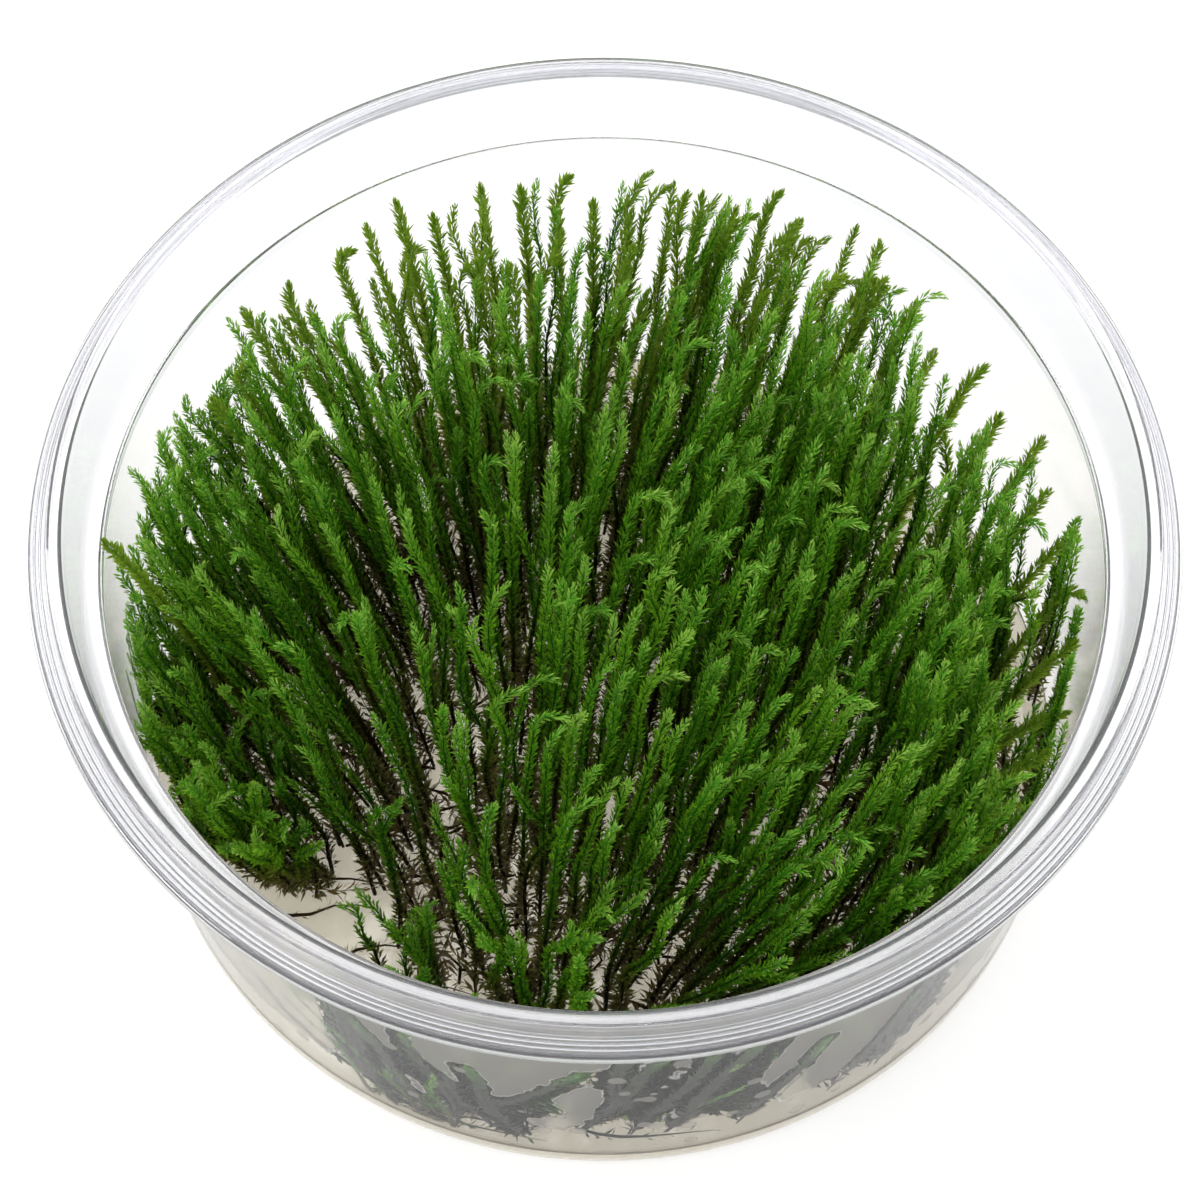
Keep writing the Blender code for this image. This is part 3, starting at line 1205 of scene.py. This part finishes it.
# Bare stems that curl along the foot of the wall.
WALL_FOOT_STEMS = pressed_shoots(
    (229.0, 11.0, 254.0, 5.4),
    (241.0, 6.0, 263.0, 5.2),
    (266.0, 9.5, 284.0, 5.6),
    (222.0, 14.0, 243.0, 6.5),
)
# Slender shoots that only lean on the wall, up the right side.
RIGHT_WALL_SHOOTS = pressed_shoots(
    (338.0, 7.0, 343.0, 34.0),
    (346.0, 6.0, 349.0, 40.0),
    (353.0, 7.0, 357.0, 37.0),
    (1.0, 8.0, 3.5, 42.0),
    (9.0, 9.0, 8.0, 38.0),
)


@dataclass
class MossClump:
    """All the shoots: the matted middle, the free and pressed ones round it, and the dead stems below.

    Azimuths are in degrees, from the right and to the back. Names that end in mm are in millimetres.

    Attributes:
        cup: The cup that holds the clump.
        seed: Seed of every chance draw.
        spacing: Distance between neighbouring roots.
        shoot_length: Usual length of a shoot.
        length_spread: How much the lengths differ.
        front_shortening: How much shorter the shoots at the front are.
        edge_shortening: How much shorter the outermost shoots are.
        bay_shortening: How much shorter the shoots beside the bay are.
        lean_places_mm: Places of roots across the clump, from left to right.
        leans_mm: How far the tips of shoots rooted there stand to the right of their roots.
        depth_lean: How far tips lean away from the clump's middle line, as a share of the root's distance.
        back_lean: How far the tips of the front shoots lean to the back.
        rear_edge: Where the rearmost shoots start, behind the axis.
        front_lean: How far the front shoots fan out to the left and the right.
        root_reach_mm: How far from the axis roots stand at the back.
        left_reach_mm: How much farther they stand at the left.
        front_reach_mm: How much farther they stand at the front and the right.
        bay_azimuth: Direction of the bay, where the floor shows.
        bay_width: Half the bay's angle.
        bay_depth_mm: How far the bay cuts into the clump.
        litter_count: Number of fallen stems among the shoots' feet.
        fringe_count: Number of short shoots beside the wall.
        fringe_left: Azimuths between which they stand at the left.
        fringe_front: Azimuths between which they sprawl along the front.
        parting: Middle and width of the thin strip that runs through the front half.
        hole_places_mm: Middles of the holes in the clump.
        hole_radius: Their radius.
        root_height: Height of the roots above the floor.
    """

    cup: Cup
    seed: int = 20
    spacing: float = 2.9 * MM
    shoot_length: float = 40.5 * MM
    length_spread: float = 2.8 * MM
    front_shortening: float = 8.0 * MM
    edge_shortening: float = 3.5 * MM
    bay_shortening: float = 19.0 * MM
    lean_places_mm: tuple[float, ...] = (-44.0, -34.0, -24.0, -14.0, -6.0, 2.0, 14.0, 24.0, 34.0, 42.0)
    leans_mm: tuple[float, ...] = (-9.0, -15.0, -13.0, -4.0, 3.0, 7.5, 9.0, 8.0, 3.5, 0.5)
    depth_lean: float = 0.33
    back_lean: float = 12.5 * MM
    rear_edge: float = 25.0 * MM
    front_lean: float = 9.0 * MM
    root_reach_mm: float = 38.0
    left_reach_mm: float = 8.2
    front_reach_mm: float = 6.8
    bay_azimuth: float = 221.0
    bay_width: float = 14.0
    bay_depth_mm: float = 17.0
    litter_count: int = 330
    fringe_count: int = 104
    fringe_left: tuple[float, float] = (166.0, 212.0)
    fringe_front: tuple[float, float] = (240.0, 345.0)
    parting: tuple[float, float] = (-15.0 * MM, 4.5 * MM)
    hole_places_mm: tuple[tuple[float, float], ...] = (
        (11.0, 1.0),
        (1.0, -11.0),
        (21.0, -17.0),
        (-31.0, 8.0),
        (29.0, 6.0),
    )
    hole_radius: float = 2.9 * MM
    root_height: float = 0.1 * MM

    def __post_init__(self) -> None:
        """Starts the random source and sets the drift that bunches neighbouring shoots."""
        self.chance = np.random.default_rng(self.seed)
        self.drift_phases = self.chance.uniform(0.0, 2.0 * math.pi, (2, 4))

    def root_limit(self, azimuth: float) -> float:
        """Works out how far from the axis shoots are rooted.

        Args:
            azimuth: A direction from the axis.

        Returns:
            The greatest distance there.
        """
        left = smooth_step(abs(turned_degrees(azimuth, 196.0)), 70.0, 40.0)
        front = smooth_step(abs(turned_degrees(azimuth, 280.0)), 60.0, 35.0)
        right = smooth_step(abs(turned_degrees(azimuth, 340.0)), 45.0, 20.0)
        bay = math.exp(-((turned_degrees(azimuth, self.bay_azimuth) / self.bay_width) ** 2))
        reach = self.root_reach_mm + self.left_reach_mm * left + self.front_reach_mm * max(front, right)
        return (reach - self.bay_depth_mm * bay) * MM

    def in_clump(self, x: float, y: float) -> bool:
        """Tells whether a place is no farther out than the roots."""
        return math.hypot(x, y) <= self.root_limit(math.degrees(math.atan2(y, x)))

    def roots(self) -> list[np.ndarray]:
        """Places the shoots' roots on the cup's floor, on a loose six-sided grid.

        Returns:
            The roots.
        """
        found = []
        row_step = self.spacing * math.sqrt(0.75)
        rows = int(48.0 * MM / row_step)
        for row in range(-rows, rows + 1):
            for column in range(-rows, rows + 1):
                x = (column + 0.5 * (row % 2) + self.chance.normal(0.0, 0.26)) * self.spacing
                y = row * row_step + self.chance.normal(0.0, 0.26) * self.spacing
                if self.chance.random() > self.bareness(x, y) and self.in_clump(x, y):
                    found.append(np.array((x, y, self.cup.floor_height + self.root_height)))
        return found

    def bareness(self, x: float, y: float) -> float:
        """Works out how bare the clump is: thin in the parting, and nearly bare in the few holes.

        Args:
            x: Place to the right of the axis.
            y: Place behind the axis.

        Returns:
            The chance that nothing grows there.
        """
        middle, width = self.parting
        strip = 0.42 * math.exp(-(((x - middle) / width) ** 2)) * smooth_step(-y, -14.0 * MM, 2.0 * MM)
        gaps = [math.hypot(x - place[0] * MM, y - place[1] * MM) for place in self.hole_places_mm]
        return max(0.04 + strip, 0.9 * (min(gaps) < self.hole_radius))

    def drift(self, x: float, y: float) -> np.ndarray:
        """Works out the lean that neighbouring shoots share, which makes them stand in bunches.

        Args:
            x: Place of a root to the right of the axis.
            y: Its place behind the axis.

        Returns:
            The lean to the right and to the back.
        """
        waves = [
            math.sin(x / (5.5 * MM) + a + 1.4 * math.sin(y / (9.0 * MM) + b))
            + 0.7 * math.sin(y / (4.5 * MM) + c + 1.2 * math.sin(x / (7.0 * MM) + d))
            for a, b, c, d in self.drift_phases
        ]
        return np.array(waves) * 1.7 * MM

    def tip_of(self, root: np.ndarray) -> np.ndarray:
        """Returns where the shoot from this root ends.

        Args:
            root: The shoot's root.

        Returns:
            The tip, leant outwards and back, inside the cup.
        """
        x, y = root[0], root[1]
        radius = math.hypot(x, y)
        front = smooth_step(-y, 20.0 * MM, 42.0 * MM)
        from_bay = abs(turned_degrees(math.degrees(math.atan2(y, x)), self.bay_azimuth))
        by_bay = smooth_step(radius, 24.0 * MM, 34.0 * MM) * smooth_step(from_bay, 33.0, 17.0)
        back = self.back_lean * min(1.0, max(0.0, (34.0 * MM - y) / (36.0 * MM)))
        back *= 1.0 - 0.72 * smooth_step(-x, 22.0 * MM, 41.0 * MM)
        sideways = np.interp(x / MM, self.lean_places_mm, self.leans_mm) * MM
        lean = np.array((sideways, self.depth_lean * y + back))
        lean[0] += self.front_lean * front * math.tanh((x + 5.0 * MM) / (9.0 * MM))
        lean[0] *= 1.0 - 0.8 * by_bay
        lean += self.drift(x, y)
        lean += self.chance.normal(0.0, 1.8 * MM + 3.0 * MM * front, 2)
        length = self.shoot_length + self.chance.normal(0.0, self.length_spread)
        length -= self.front_shortening * front
        length -= self.edge_shortening * smooth_step(radius, 30.0 * MM, 44.0 * MM)
        length -= self.bay_shortening * by_bay
        length *= 1.0 - 0.32 * (self.chance.random() < 0.12)
        across = float(np.linalg.norm(lean))
        lean *= min(1.0, 0.75 * length / across)
        height = root[2] + math.sqrt(length**2 - float(lean @ lean))
        tip = np.array((x + lean[0], y + lean[1], height))
        limit = float(self.cup.inside_radius(height)) - 1.2 * MM
        tip[:2] *= min(1.0, limit / math.hypot(tip[0], tip[1]))
        return tip

    def line_between(self, root: np.ndarray, tip: np.ndarray) -> np.ndarray:
        """Returns a bowed, slightly wavy line.

        Args:
            root: Where the line starts.
            tip: Where it ends.

        Returns:
            The line's points.
        """
        shares = np.linspace(0.0, 1.0, 40)[:, None]
        bend = root + (tip - root) * 0.40
        bend[2] = root[2] + (tip[2] - root[2]) * self.chance.uniform(0.48, 0.66)
        line = root * (1 - shares) ** 2 + 2 * bend * shares * (1 - shares) + tip * shares**2
        flat = np.array((1.0, 1.0, 0.0))
        sway = self.chance.normal(0.0, 0.7 * MM, 3) * flat
        twist = self.chance.normal(0.0, 0.35 * MM, 3) * flat
        line += sway * np.sin(math.pi * shares) * np.sin(2.3 * math.pi * shares)
        return line + twist * np.sin(5.0 * math.pi * shares) * shares

    def bent_tip(self, line: np.ndarray, form: TipForm, share: float = 1.0) -> np.ndarray:
        """Returns the line with its last few millimetres bent over, mostly to the right.

        Args:
            line: The line's points.
            form: How far the tip bends.
            share: Share of that bend.

        Returns:
            The bent line's points.
        """
        angle = math.radians(form.value) * share * self.chance.uniform(0.7, 1.25)
        steps = np.diff(line, axis=0)
        lengths = np.linalg.norm(steps, axis=1, keepdims=True)
        directions = steps / lengths
        side = np.array((self.chance.normal(0.9, 0.7), self.chance.normal(-0.1, 0.8), -0.2))
        side -= directions[-1] * (side @ directions[-1])
        side /= np.linalg.norm(side)
        from_tip = np.cumsum(lengths[::-1])[::-1] - lengths[:, 0]
        reach = self.chance.uniform(2.6, 5.5) * MM
        amount = (angle * np.clip(1.0 - from_tip / reach, 0.0, 1.0))[:, None]
        bent = directions * np.cos(amount) + side * np.sin(amount)
        return np.concatenate([line[:1], line[0] + np.cumsum(bent * lengths, axis=0)])

    def any_form(self, straight: float) -> TipForm:
        """Draws one of the tip forms.

        Args:
            straight: The chance of a straight tip.

        Returns:
            The form; of the bent tips, most only nod.
        """
        draw = self.chance.random()
        if draw < straight:
            return TipForm.STRAIGHT
        return TipForm.NODDING if draw < straight + 0.62 * (1.0 - straight) else TipForm.HOOKED

    def shoots_on(self, line: np.ndarray, stem_radius: float = 0.24 * MM, lush: float = 1.0) -> list[Shoot]:
        """Returns a shoot along the line, and now and then a side shoot from its upper half.

        Args:
            line: The main shoot's centre line.
            stem_radius: Radius of its stem.
            lush: How much longer and closer its leaves are than usual.

        Returns:
            One or two shoots.
        """
        main = Shoot(
            line=line,
            tone=float(np.clip(self.chance.normal(0.17, 0.18), 0.0, 0.75)),
            leaf_length=self.chance.uniform(0.95, 1.25) * lush * MM,
            leaf_spacing=0.09 * MM / lush,
            stem_radius=stem_radius,
            dead_share=float(np.clip(self.chance.normal(0.31, 0.07), 0.15, 0.6)),
        )
        if self.chance.random() > 0.12:
            return [main]
        share = self.chance.uniform(0.5, 0.8)
        points, tangents, first, second = main.stations(np.array((share,)))
        turn = self.chance.uniform(0.0, 2.0 * math.pi)
        outward = math.cos(turn) * first[0] + math.sin(turn) * second[0]
        reach = self.chance.uniform(5.0, 10.0) * MM
        steps = np.linspace(0.0, 1.0, 12)[:, None]
        side_line = points[0] + reach * (tangents[0] * steps + outward * 0.42 * np.sqrt(steps) * steps**0.3)
        side = Shoot(
            side_line,
            main.tone + 0.06,
            main.leaf_length * 0.9,
            stem_radius=0.15 * MM,
            dead_share=0.0,
            age=share,
        )
        return [main, side]

    def build_middle(
        self, finish: bpy.types.Material, backlit: bpy.types.Material
    ) -> list[bpy.types.Object]:
        """Makes the shoots of the matted middle, in pieces that each stay small.

        Args:
            finish: The material.
            backlit: The material of the rearmost shoots.

        Returns:
            The finished pieces.
        """
        swards = {
            name: Sward(f"moss_{name}", self.chance, self.cup)
            for name in ("core", "right", "back", "left", "front", "rear", "fringe")
        }
        for root in self.roots():
            line = self.bent_tip(self.line_between(root, self.tip_of(root)), self.any_form(0.5))
            quarter = int((math.degrees(math.atan2(root[1], root[0])) + 45.0) % 360.0 // 90.0)
            inner = math.hypot(root[0], root[1]) < 19.0 * MM
            name = "core" if inner else ("right", "back", "left", "front")[quarter]
            if root[1] > self.rear_edge and self.chance.random() < 0.7:
                name = "rear"
            swards[name].add(*self.shoots_on(line, lush=1.22 if name == "rear" else 1.0))
        for _ in range(self.fringe_count):
            swards["fringe"].add(self.fringe_shoot())
        for leaning in RIGHT_WALL_SHOOTS:
            for inset in (0.9 * MM, 1.9 * MM):
                line = leaning.line(self.cup, inset) + self.chance.normal(0.0, 0.8 * MM, 3)
                swards["fringe"].add(*self.shoots_on(line, 0.18 * MM))
        return [
            sward.build(backlit if name == "rear" else finish, "moss", "moss_mass")
            for name, sward in swards.items()
        ]

    def fringe_shoot(self) -> Shoot:
        """Makes one short young shoot beside the wall: at the left, or sprawling along the front.

        Returns:
            The shoot.
        """
        at_left = self.chance.random() < 0.45
        azimuth = self.chance.uniform(*(self.fringe_left if at_left else self.fringe_front))
        turn = math.radians(azimuth)
        outward = np.array((math.cos(turn), math.sin(turn), 0.0))
        sideways = np.array((-outward[1], outward[0], 0.0))
        root = outward * (self.root_limit(azimuth) - self.chance.uniform(0.0, 3.0) * MM)
        root[2] = self.cup.floor_height + self.root_height
        height = self.chance.uniform(*((14.0, 30.0) if at_left else (8.0, 22.0))) * MM
        sprawl = 0.0 if at_left else math.copysign(self.chance.uniform(0.0, 1.3), azimuth - 264.0)
        lean = (outward * (0.3 if at_left else 0.12) + sideways * sprawl) * height
        lean += self.chance.normal(0.0, 2.2 * MM, 3)
        tip = root + lean * (1.0, 1.0, 0.0) + (0.0, 0.0, height)
        line = self.bent_tip(self.line_between(root, tip), self.any_form(0.4))
        tone, leaf_length = self.chance.uniform(0.1, 0.4), self.chance.uniform(1.0, 1.3) * MM
        return Shoot(line, tone, leaf_length, dead_share=0.15)

    def build_pressed(self, finish: bpy.types.Material) -> bpy.types.Object:
        """Makes the shoots that lie on the wall, as one piece.

        Args:
            finish: The material.

        Returns:
            The finished piece.
        """
        sward = Sward("moss_pressed_on_wall", self.chance, self.cup)
        for pressed in FRONT_WALL_SHOOTS:
            for inset in (0.3 * MM, 0.8 * MM, 1.5 * MM, 2.2 * MM):
                line = pressed.line(self.cup, inset) + self.chance.normal(0.0, 0.9 * MM, 3)
                sward.add(Shoot(line, 0.0, 2.0 * MM, leaf_width=0.2, dead_share=0.3))
        for bare in WALL_FOOT_STEMS:
            line = bare.line(self.cup, 0.35 * MM)
            thin = 0.16 * MM
            stem = Shoot(line, 0.3, 1.2 * MM, leaf_spacing=0.5 * MM, stem_radius=thin, dead_share=ALL_DEAD)
            sward.add(stem)
        return sward.build(finish, "moss", "moss_mass")

    def build_litter(self, finish: bpy.types.Material) -> bpy.types.Object:
        """Makes the tangle of dead stems and fallen bits that the shoots stand in, as one piece.

        Args:
            finish: The material.

        Returns:
            The finished piece.
        """
        sward = Sward("moss_tangled_feet", self.chance, self.cup)
        made = 0
        while made < self.litter_count:
            azimuth, share = self.chance.uniform(0.0, 360.0), math.sqrt(self.chance.random())
            radius = share * self.root_limit(azimuth)
            turn = math.radians(azimuth)
            middle = np.array((radius * math.cos(turn), radius * math.sin(turn), self.cup.floor_height))
            heading, reach = self.chance.uniform(0.0, 2.0 * math.pi), self.chance.uniform(3.0, 8.0) * MM
            along = np.array((math.cos(heading), math.sin(heading), 0.0))
            across = np.array((-along[1], along[0], 0.0))
            shares = np.linspace(-1.0, 1.0, 14)[:, None]
            rise = np.array((0.0, 0.0, 1.0))
            line = middle + along * shares * reach + across * self.chance.normal(0.0, 1.2 * MM) * shares**2
            line += across * self.chance.normal(0.0, 0.7 * MM) * np.sin(4.0 * shares)
            line += rise * (self.chance.uniform(0.3, 3.0) * MM + self.chance.normal(0.0, 0.8 * MM) * shares)
            if not all(self.in_clump(x, y) for x, y, _ in (line[0], line[-1])):
                continue
            made += 1
            sward.add(
                Shoot(
                    line,
                    self.chance.uniform(0.1, 0.6),
                    self.chance.uniform(1.3, 2.1) * MM,
                    leaf_width=0.13,
                    leaf_spacing=0.16 * MM,
                    stem_radius=0.17 * MM,
                    dead_share=ALL_DEAD,
                    age=self.chance.uniform(0.0, 0.9),
                )
            )
        return sward.build(finish, "dead_stem", "moss_mass")

    def cad_line(self, node: str) -> np.ndarray:
        """Reads the centre line of a tube of the CAD model.

        Args:
            node: The tube's name.

        Returns:
            The middles of its rings of six corners, in order from its lowest end.
        """
        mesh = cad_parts[node].data
        places = np.empty(len(mesh.vertices) * 3, dtype=np.float32)
        mesh.vertices.foreach_get("co", places)
        places = np.unique(np.round(places.reshape(-1, 3).astype(float), 6), axis=0)
        spread = places - places.mean(axis=0)
        axis = np.linalg.svd(spread, full_matrices=False)[2][0]
        places = places[np.argsort(spread @ axis * (1.0 if axis[2] >= 0.0 else -1.0))]
        return np.array([ring.mean(axis=0) for ring in np.array_split(places, len(places) // 6)])

    def smoothed(self, line: np.ndarray, count: int) -> np.ndarray:
        """Rounds a line by corner cutting.

        Args:
            line: The line's points.
            count: Number of points of the new line.

        Returns:
            The new line's points.
        """
        for _ in range(2):
            low = line[:-1] * 0.75 + line[1:] * 0.25
            high = line[:-1] * 0.25 + line[1:] * 0.75
            middle = np.stack([low, high], axis=1).reshape(-1, 3)
            line = np.concatenate([line[:1], middle, line[-1:]])
        reach = np.linspace(0.0, 1.0, len(line))
        shares = np.linspace(0.0, 1.0, count)
        return np.stack([np.interp(shares, reach, line[:, axis]) for axis in range(3)], axis=1)

    def build_free(self, finish: bpy.types.Material) -> list[bpy.types.Object]:
        """Makes one leafy shoot for each free shoot of the CAD model.

        Args:
            finish: The material.

        Returns:
            The finished pieces.
        """
        made = []
        for node in sorted(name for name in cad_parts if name.startswith("shoot_")):
            line = self.bent_tip(self.smoothed(self.cad_line(node), 40), self.any_form(0.6), 0.6)
            sward = Sward(f"leafy_{node}", self.chance, self.cup)
            sward.add(*self.shoots_on(line, 0.16 * MM, 1.3))
            made.append(sward.build(finish, "moss", node))
        return made

    def build_loose(self, finish: bpy.types.Material) -> list[bpy.types.Object]:
        """Makes the dead stems on the cup's floor, each with its dead leaves.

        Args:
            finish: The material.

        Returns:
            The finished pieces.
        """
        made = []
        for node in sorted(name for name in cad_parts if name.startswith("loose_stem_")):
            sward = Sward(f"dead_{node}", self.chance, self.cup)
            line = self.smoothed(self.cad_line(node), 30)
            sward.add(Shoot(line, 0.4, 1.0 * MM, 0.1, 0.3 * MM, stem_radius=0.22 * MM, dead_share=ALL_DEAD))
            made.append(sward.build(finish, "dead_stem", node))
        return made


# ---------------------------------------------------------------------------------------------- the studio


@dataclass
class Studio:
    """A plain white floor, soft light and the camera.

    Attributes:
        cup: The cup that the camera looks at.
        camera_distance: Distance from the camera to the middle of the rim.
        camera_elevation: Its height above the horizon in degrees.
        lens: Focal length in millimetres.
        aim_forward: How far in front of the middle of the rim the camera aims.
        aim_left: How far to its left.
        floor_size: Half the floor's width.
        floor_gap: How far the floor lies below the cup's foot.
        tent: Colours of the white tent round the table, from the horizon to the top.
    """

    cup: Cup
    camera_distance: float = 450.0 * MM
    camera_elevation: float = 59.5
    lens: float = 134.0
    aim_forward: float = 10.1 * MM
    aim_left: float = 0.4 * MM
    floor_size: float = 3.0
    floor_gap: float = 0.05 * MM
    tent: tuple[tuple[float, str], ...] = (
        (0.0, "#9a98ac"),
        (0.14, "#d3d2dd"),
        (0.34, "#fdfdfd"),
        (1.0, "#ffffff"),
    )

    def build(self) -> None:
        """Makes the floor, the lights, the world and the camera."""
        self.build_floor()
        self.build_light("top_softbox", (0.25, 0.7, 1.2), 1.0, 7.0)
        self.build_light("side_softbox", (-0.9, -0.5, 0.9), 0.7, 4.0)
        self.build_world()
        self.build_camera()

    def build_floor(self) -> None:
        """Makes the floor just under the cup's foot."""
        shape = bmesh.new()
        bmesh.ops.create_grid(shape, x_segments=1, y_segments=1, size=self.floor_size)
        bmesh.ops.translate(shape, verts=shape.verts, vec=(0.0, 0.0, -self.floor_gap))
        mesh = bpy.data.meshes.new("studio_floor")
        shape.to_mesh(mesh)
        shape.free()
        mesh.materials.append(StudioFloor().build())
        floor = bpy.data.objects.new("studio_floor", mesh)
        bpy.context.scene.collection.objects.link(floor)

    def build_light(self, name: str, place: tuple[float, float, float], size: float, power: float) -> None:
        """Makes one square soft light that faces the cup.

        Args:
            name: The light's name.
            place: Where it stands.
            size: Its side.
            power: Its power in watts.
        """
        data = bpy.data.lights.new(name, "AREA")
        data.size = size
        data.energy = power
        light = bpy.data.objects.new(name, data)
        light.location = place
        light.rotation_euler = (-Vector(place)).to_track_quat("-Z", "Y").to_euler()
        bpy.context.scene.collection.objects.link(light)

    def build_world(self) -> None:
        """Makes the white tent round the table, with a dim band just above the table's far edge."""
        world = bpy.data.worlds.new("white_tent")
        world.use_nodes = True
        tree = world.node_tree
        tree.nodes.clear()
        place = add_node(tree, "ShaderNodeTexCoord")
        parts = add_node(tree, "ShaderNodeSeparateXYZ", links={0: place.outputs["Generated"]})
        tent = add_node(tree, "ShaderNodeValToRGB", links={0: parts.outputs["Z"]}, stops=self.tent)
        light = add_node(tree, "ShaderNodeBackground", values={"Strength": 1.0}, links={"Color": tent})
        add_node(tree, "ShaderNodeOutputWorld", links={"Surface": light})
        bpy.context.scene.world = world
        bpy.context.scene.view_settings.view_transform = "Standard"

    def build_camera(self) -> None:
        """Makes the camera, looking down into the cup from the front."""
        data = bpy.data.cameras.new("camera")
        data.lens = self.lens
        data.sensor_width = 36.0
        data.clip_start = 0.01
        data.clip_end = 10.0
        camera = bpy.data.objects.new("camera", data)
        lift = math.radians(self.camera_elevation)
        rim = Vector((0.0, 0.0, self.cup.height))
        camera.location = rim + self.camera_distance * Vector((0.0, -math.cos(lift), math.sin(lift)))
        aim = rim + Vector((-self.aim_left, -self.aim_forward, 0.0))
        camera.rotation_euler = (aim - camera.location).to_track_quat("-Z", "Y").to_euler()
        bpy.context.scene.collection.objects.link(camera)
        bpy.context.scene.camera = camera


def write_size() -> None:
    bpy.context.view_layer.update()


def main() -> None:
    """Builds the cup, the moss and the studio in order."""
    logging.basicConfig(level=logging.INFO, format="%(message)s")
    cup = Cup()
    shell = cup.build([pressed.line(cup, 0.0) for pressed in FRONT_WALL_SHOOTS])
    LOG.info("built %s", shell.name)
    clump = MossClump(cup)
    living, backlit, dead = LIVING_MOSS.build(), BACKLIT_MOSS.build(), DEAD_MOSS.build()
    pieces = [
        *clump.build_middle(living, backlit),
        clump.build_pressed(SOAKED_AND_SHADE_PAINTED_MOSS.build()),
        clump.build_litter(dead),
        *clump.build_free(backlit),
        *clump.build_loose(dead),
    ]
    LOG.info("built %d pieces of moss", len(pieces))
    Studio(cup).build()
    write_size()


if __name__ == "__main__":
    main()
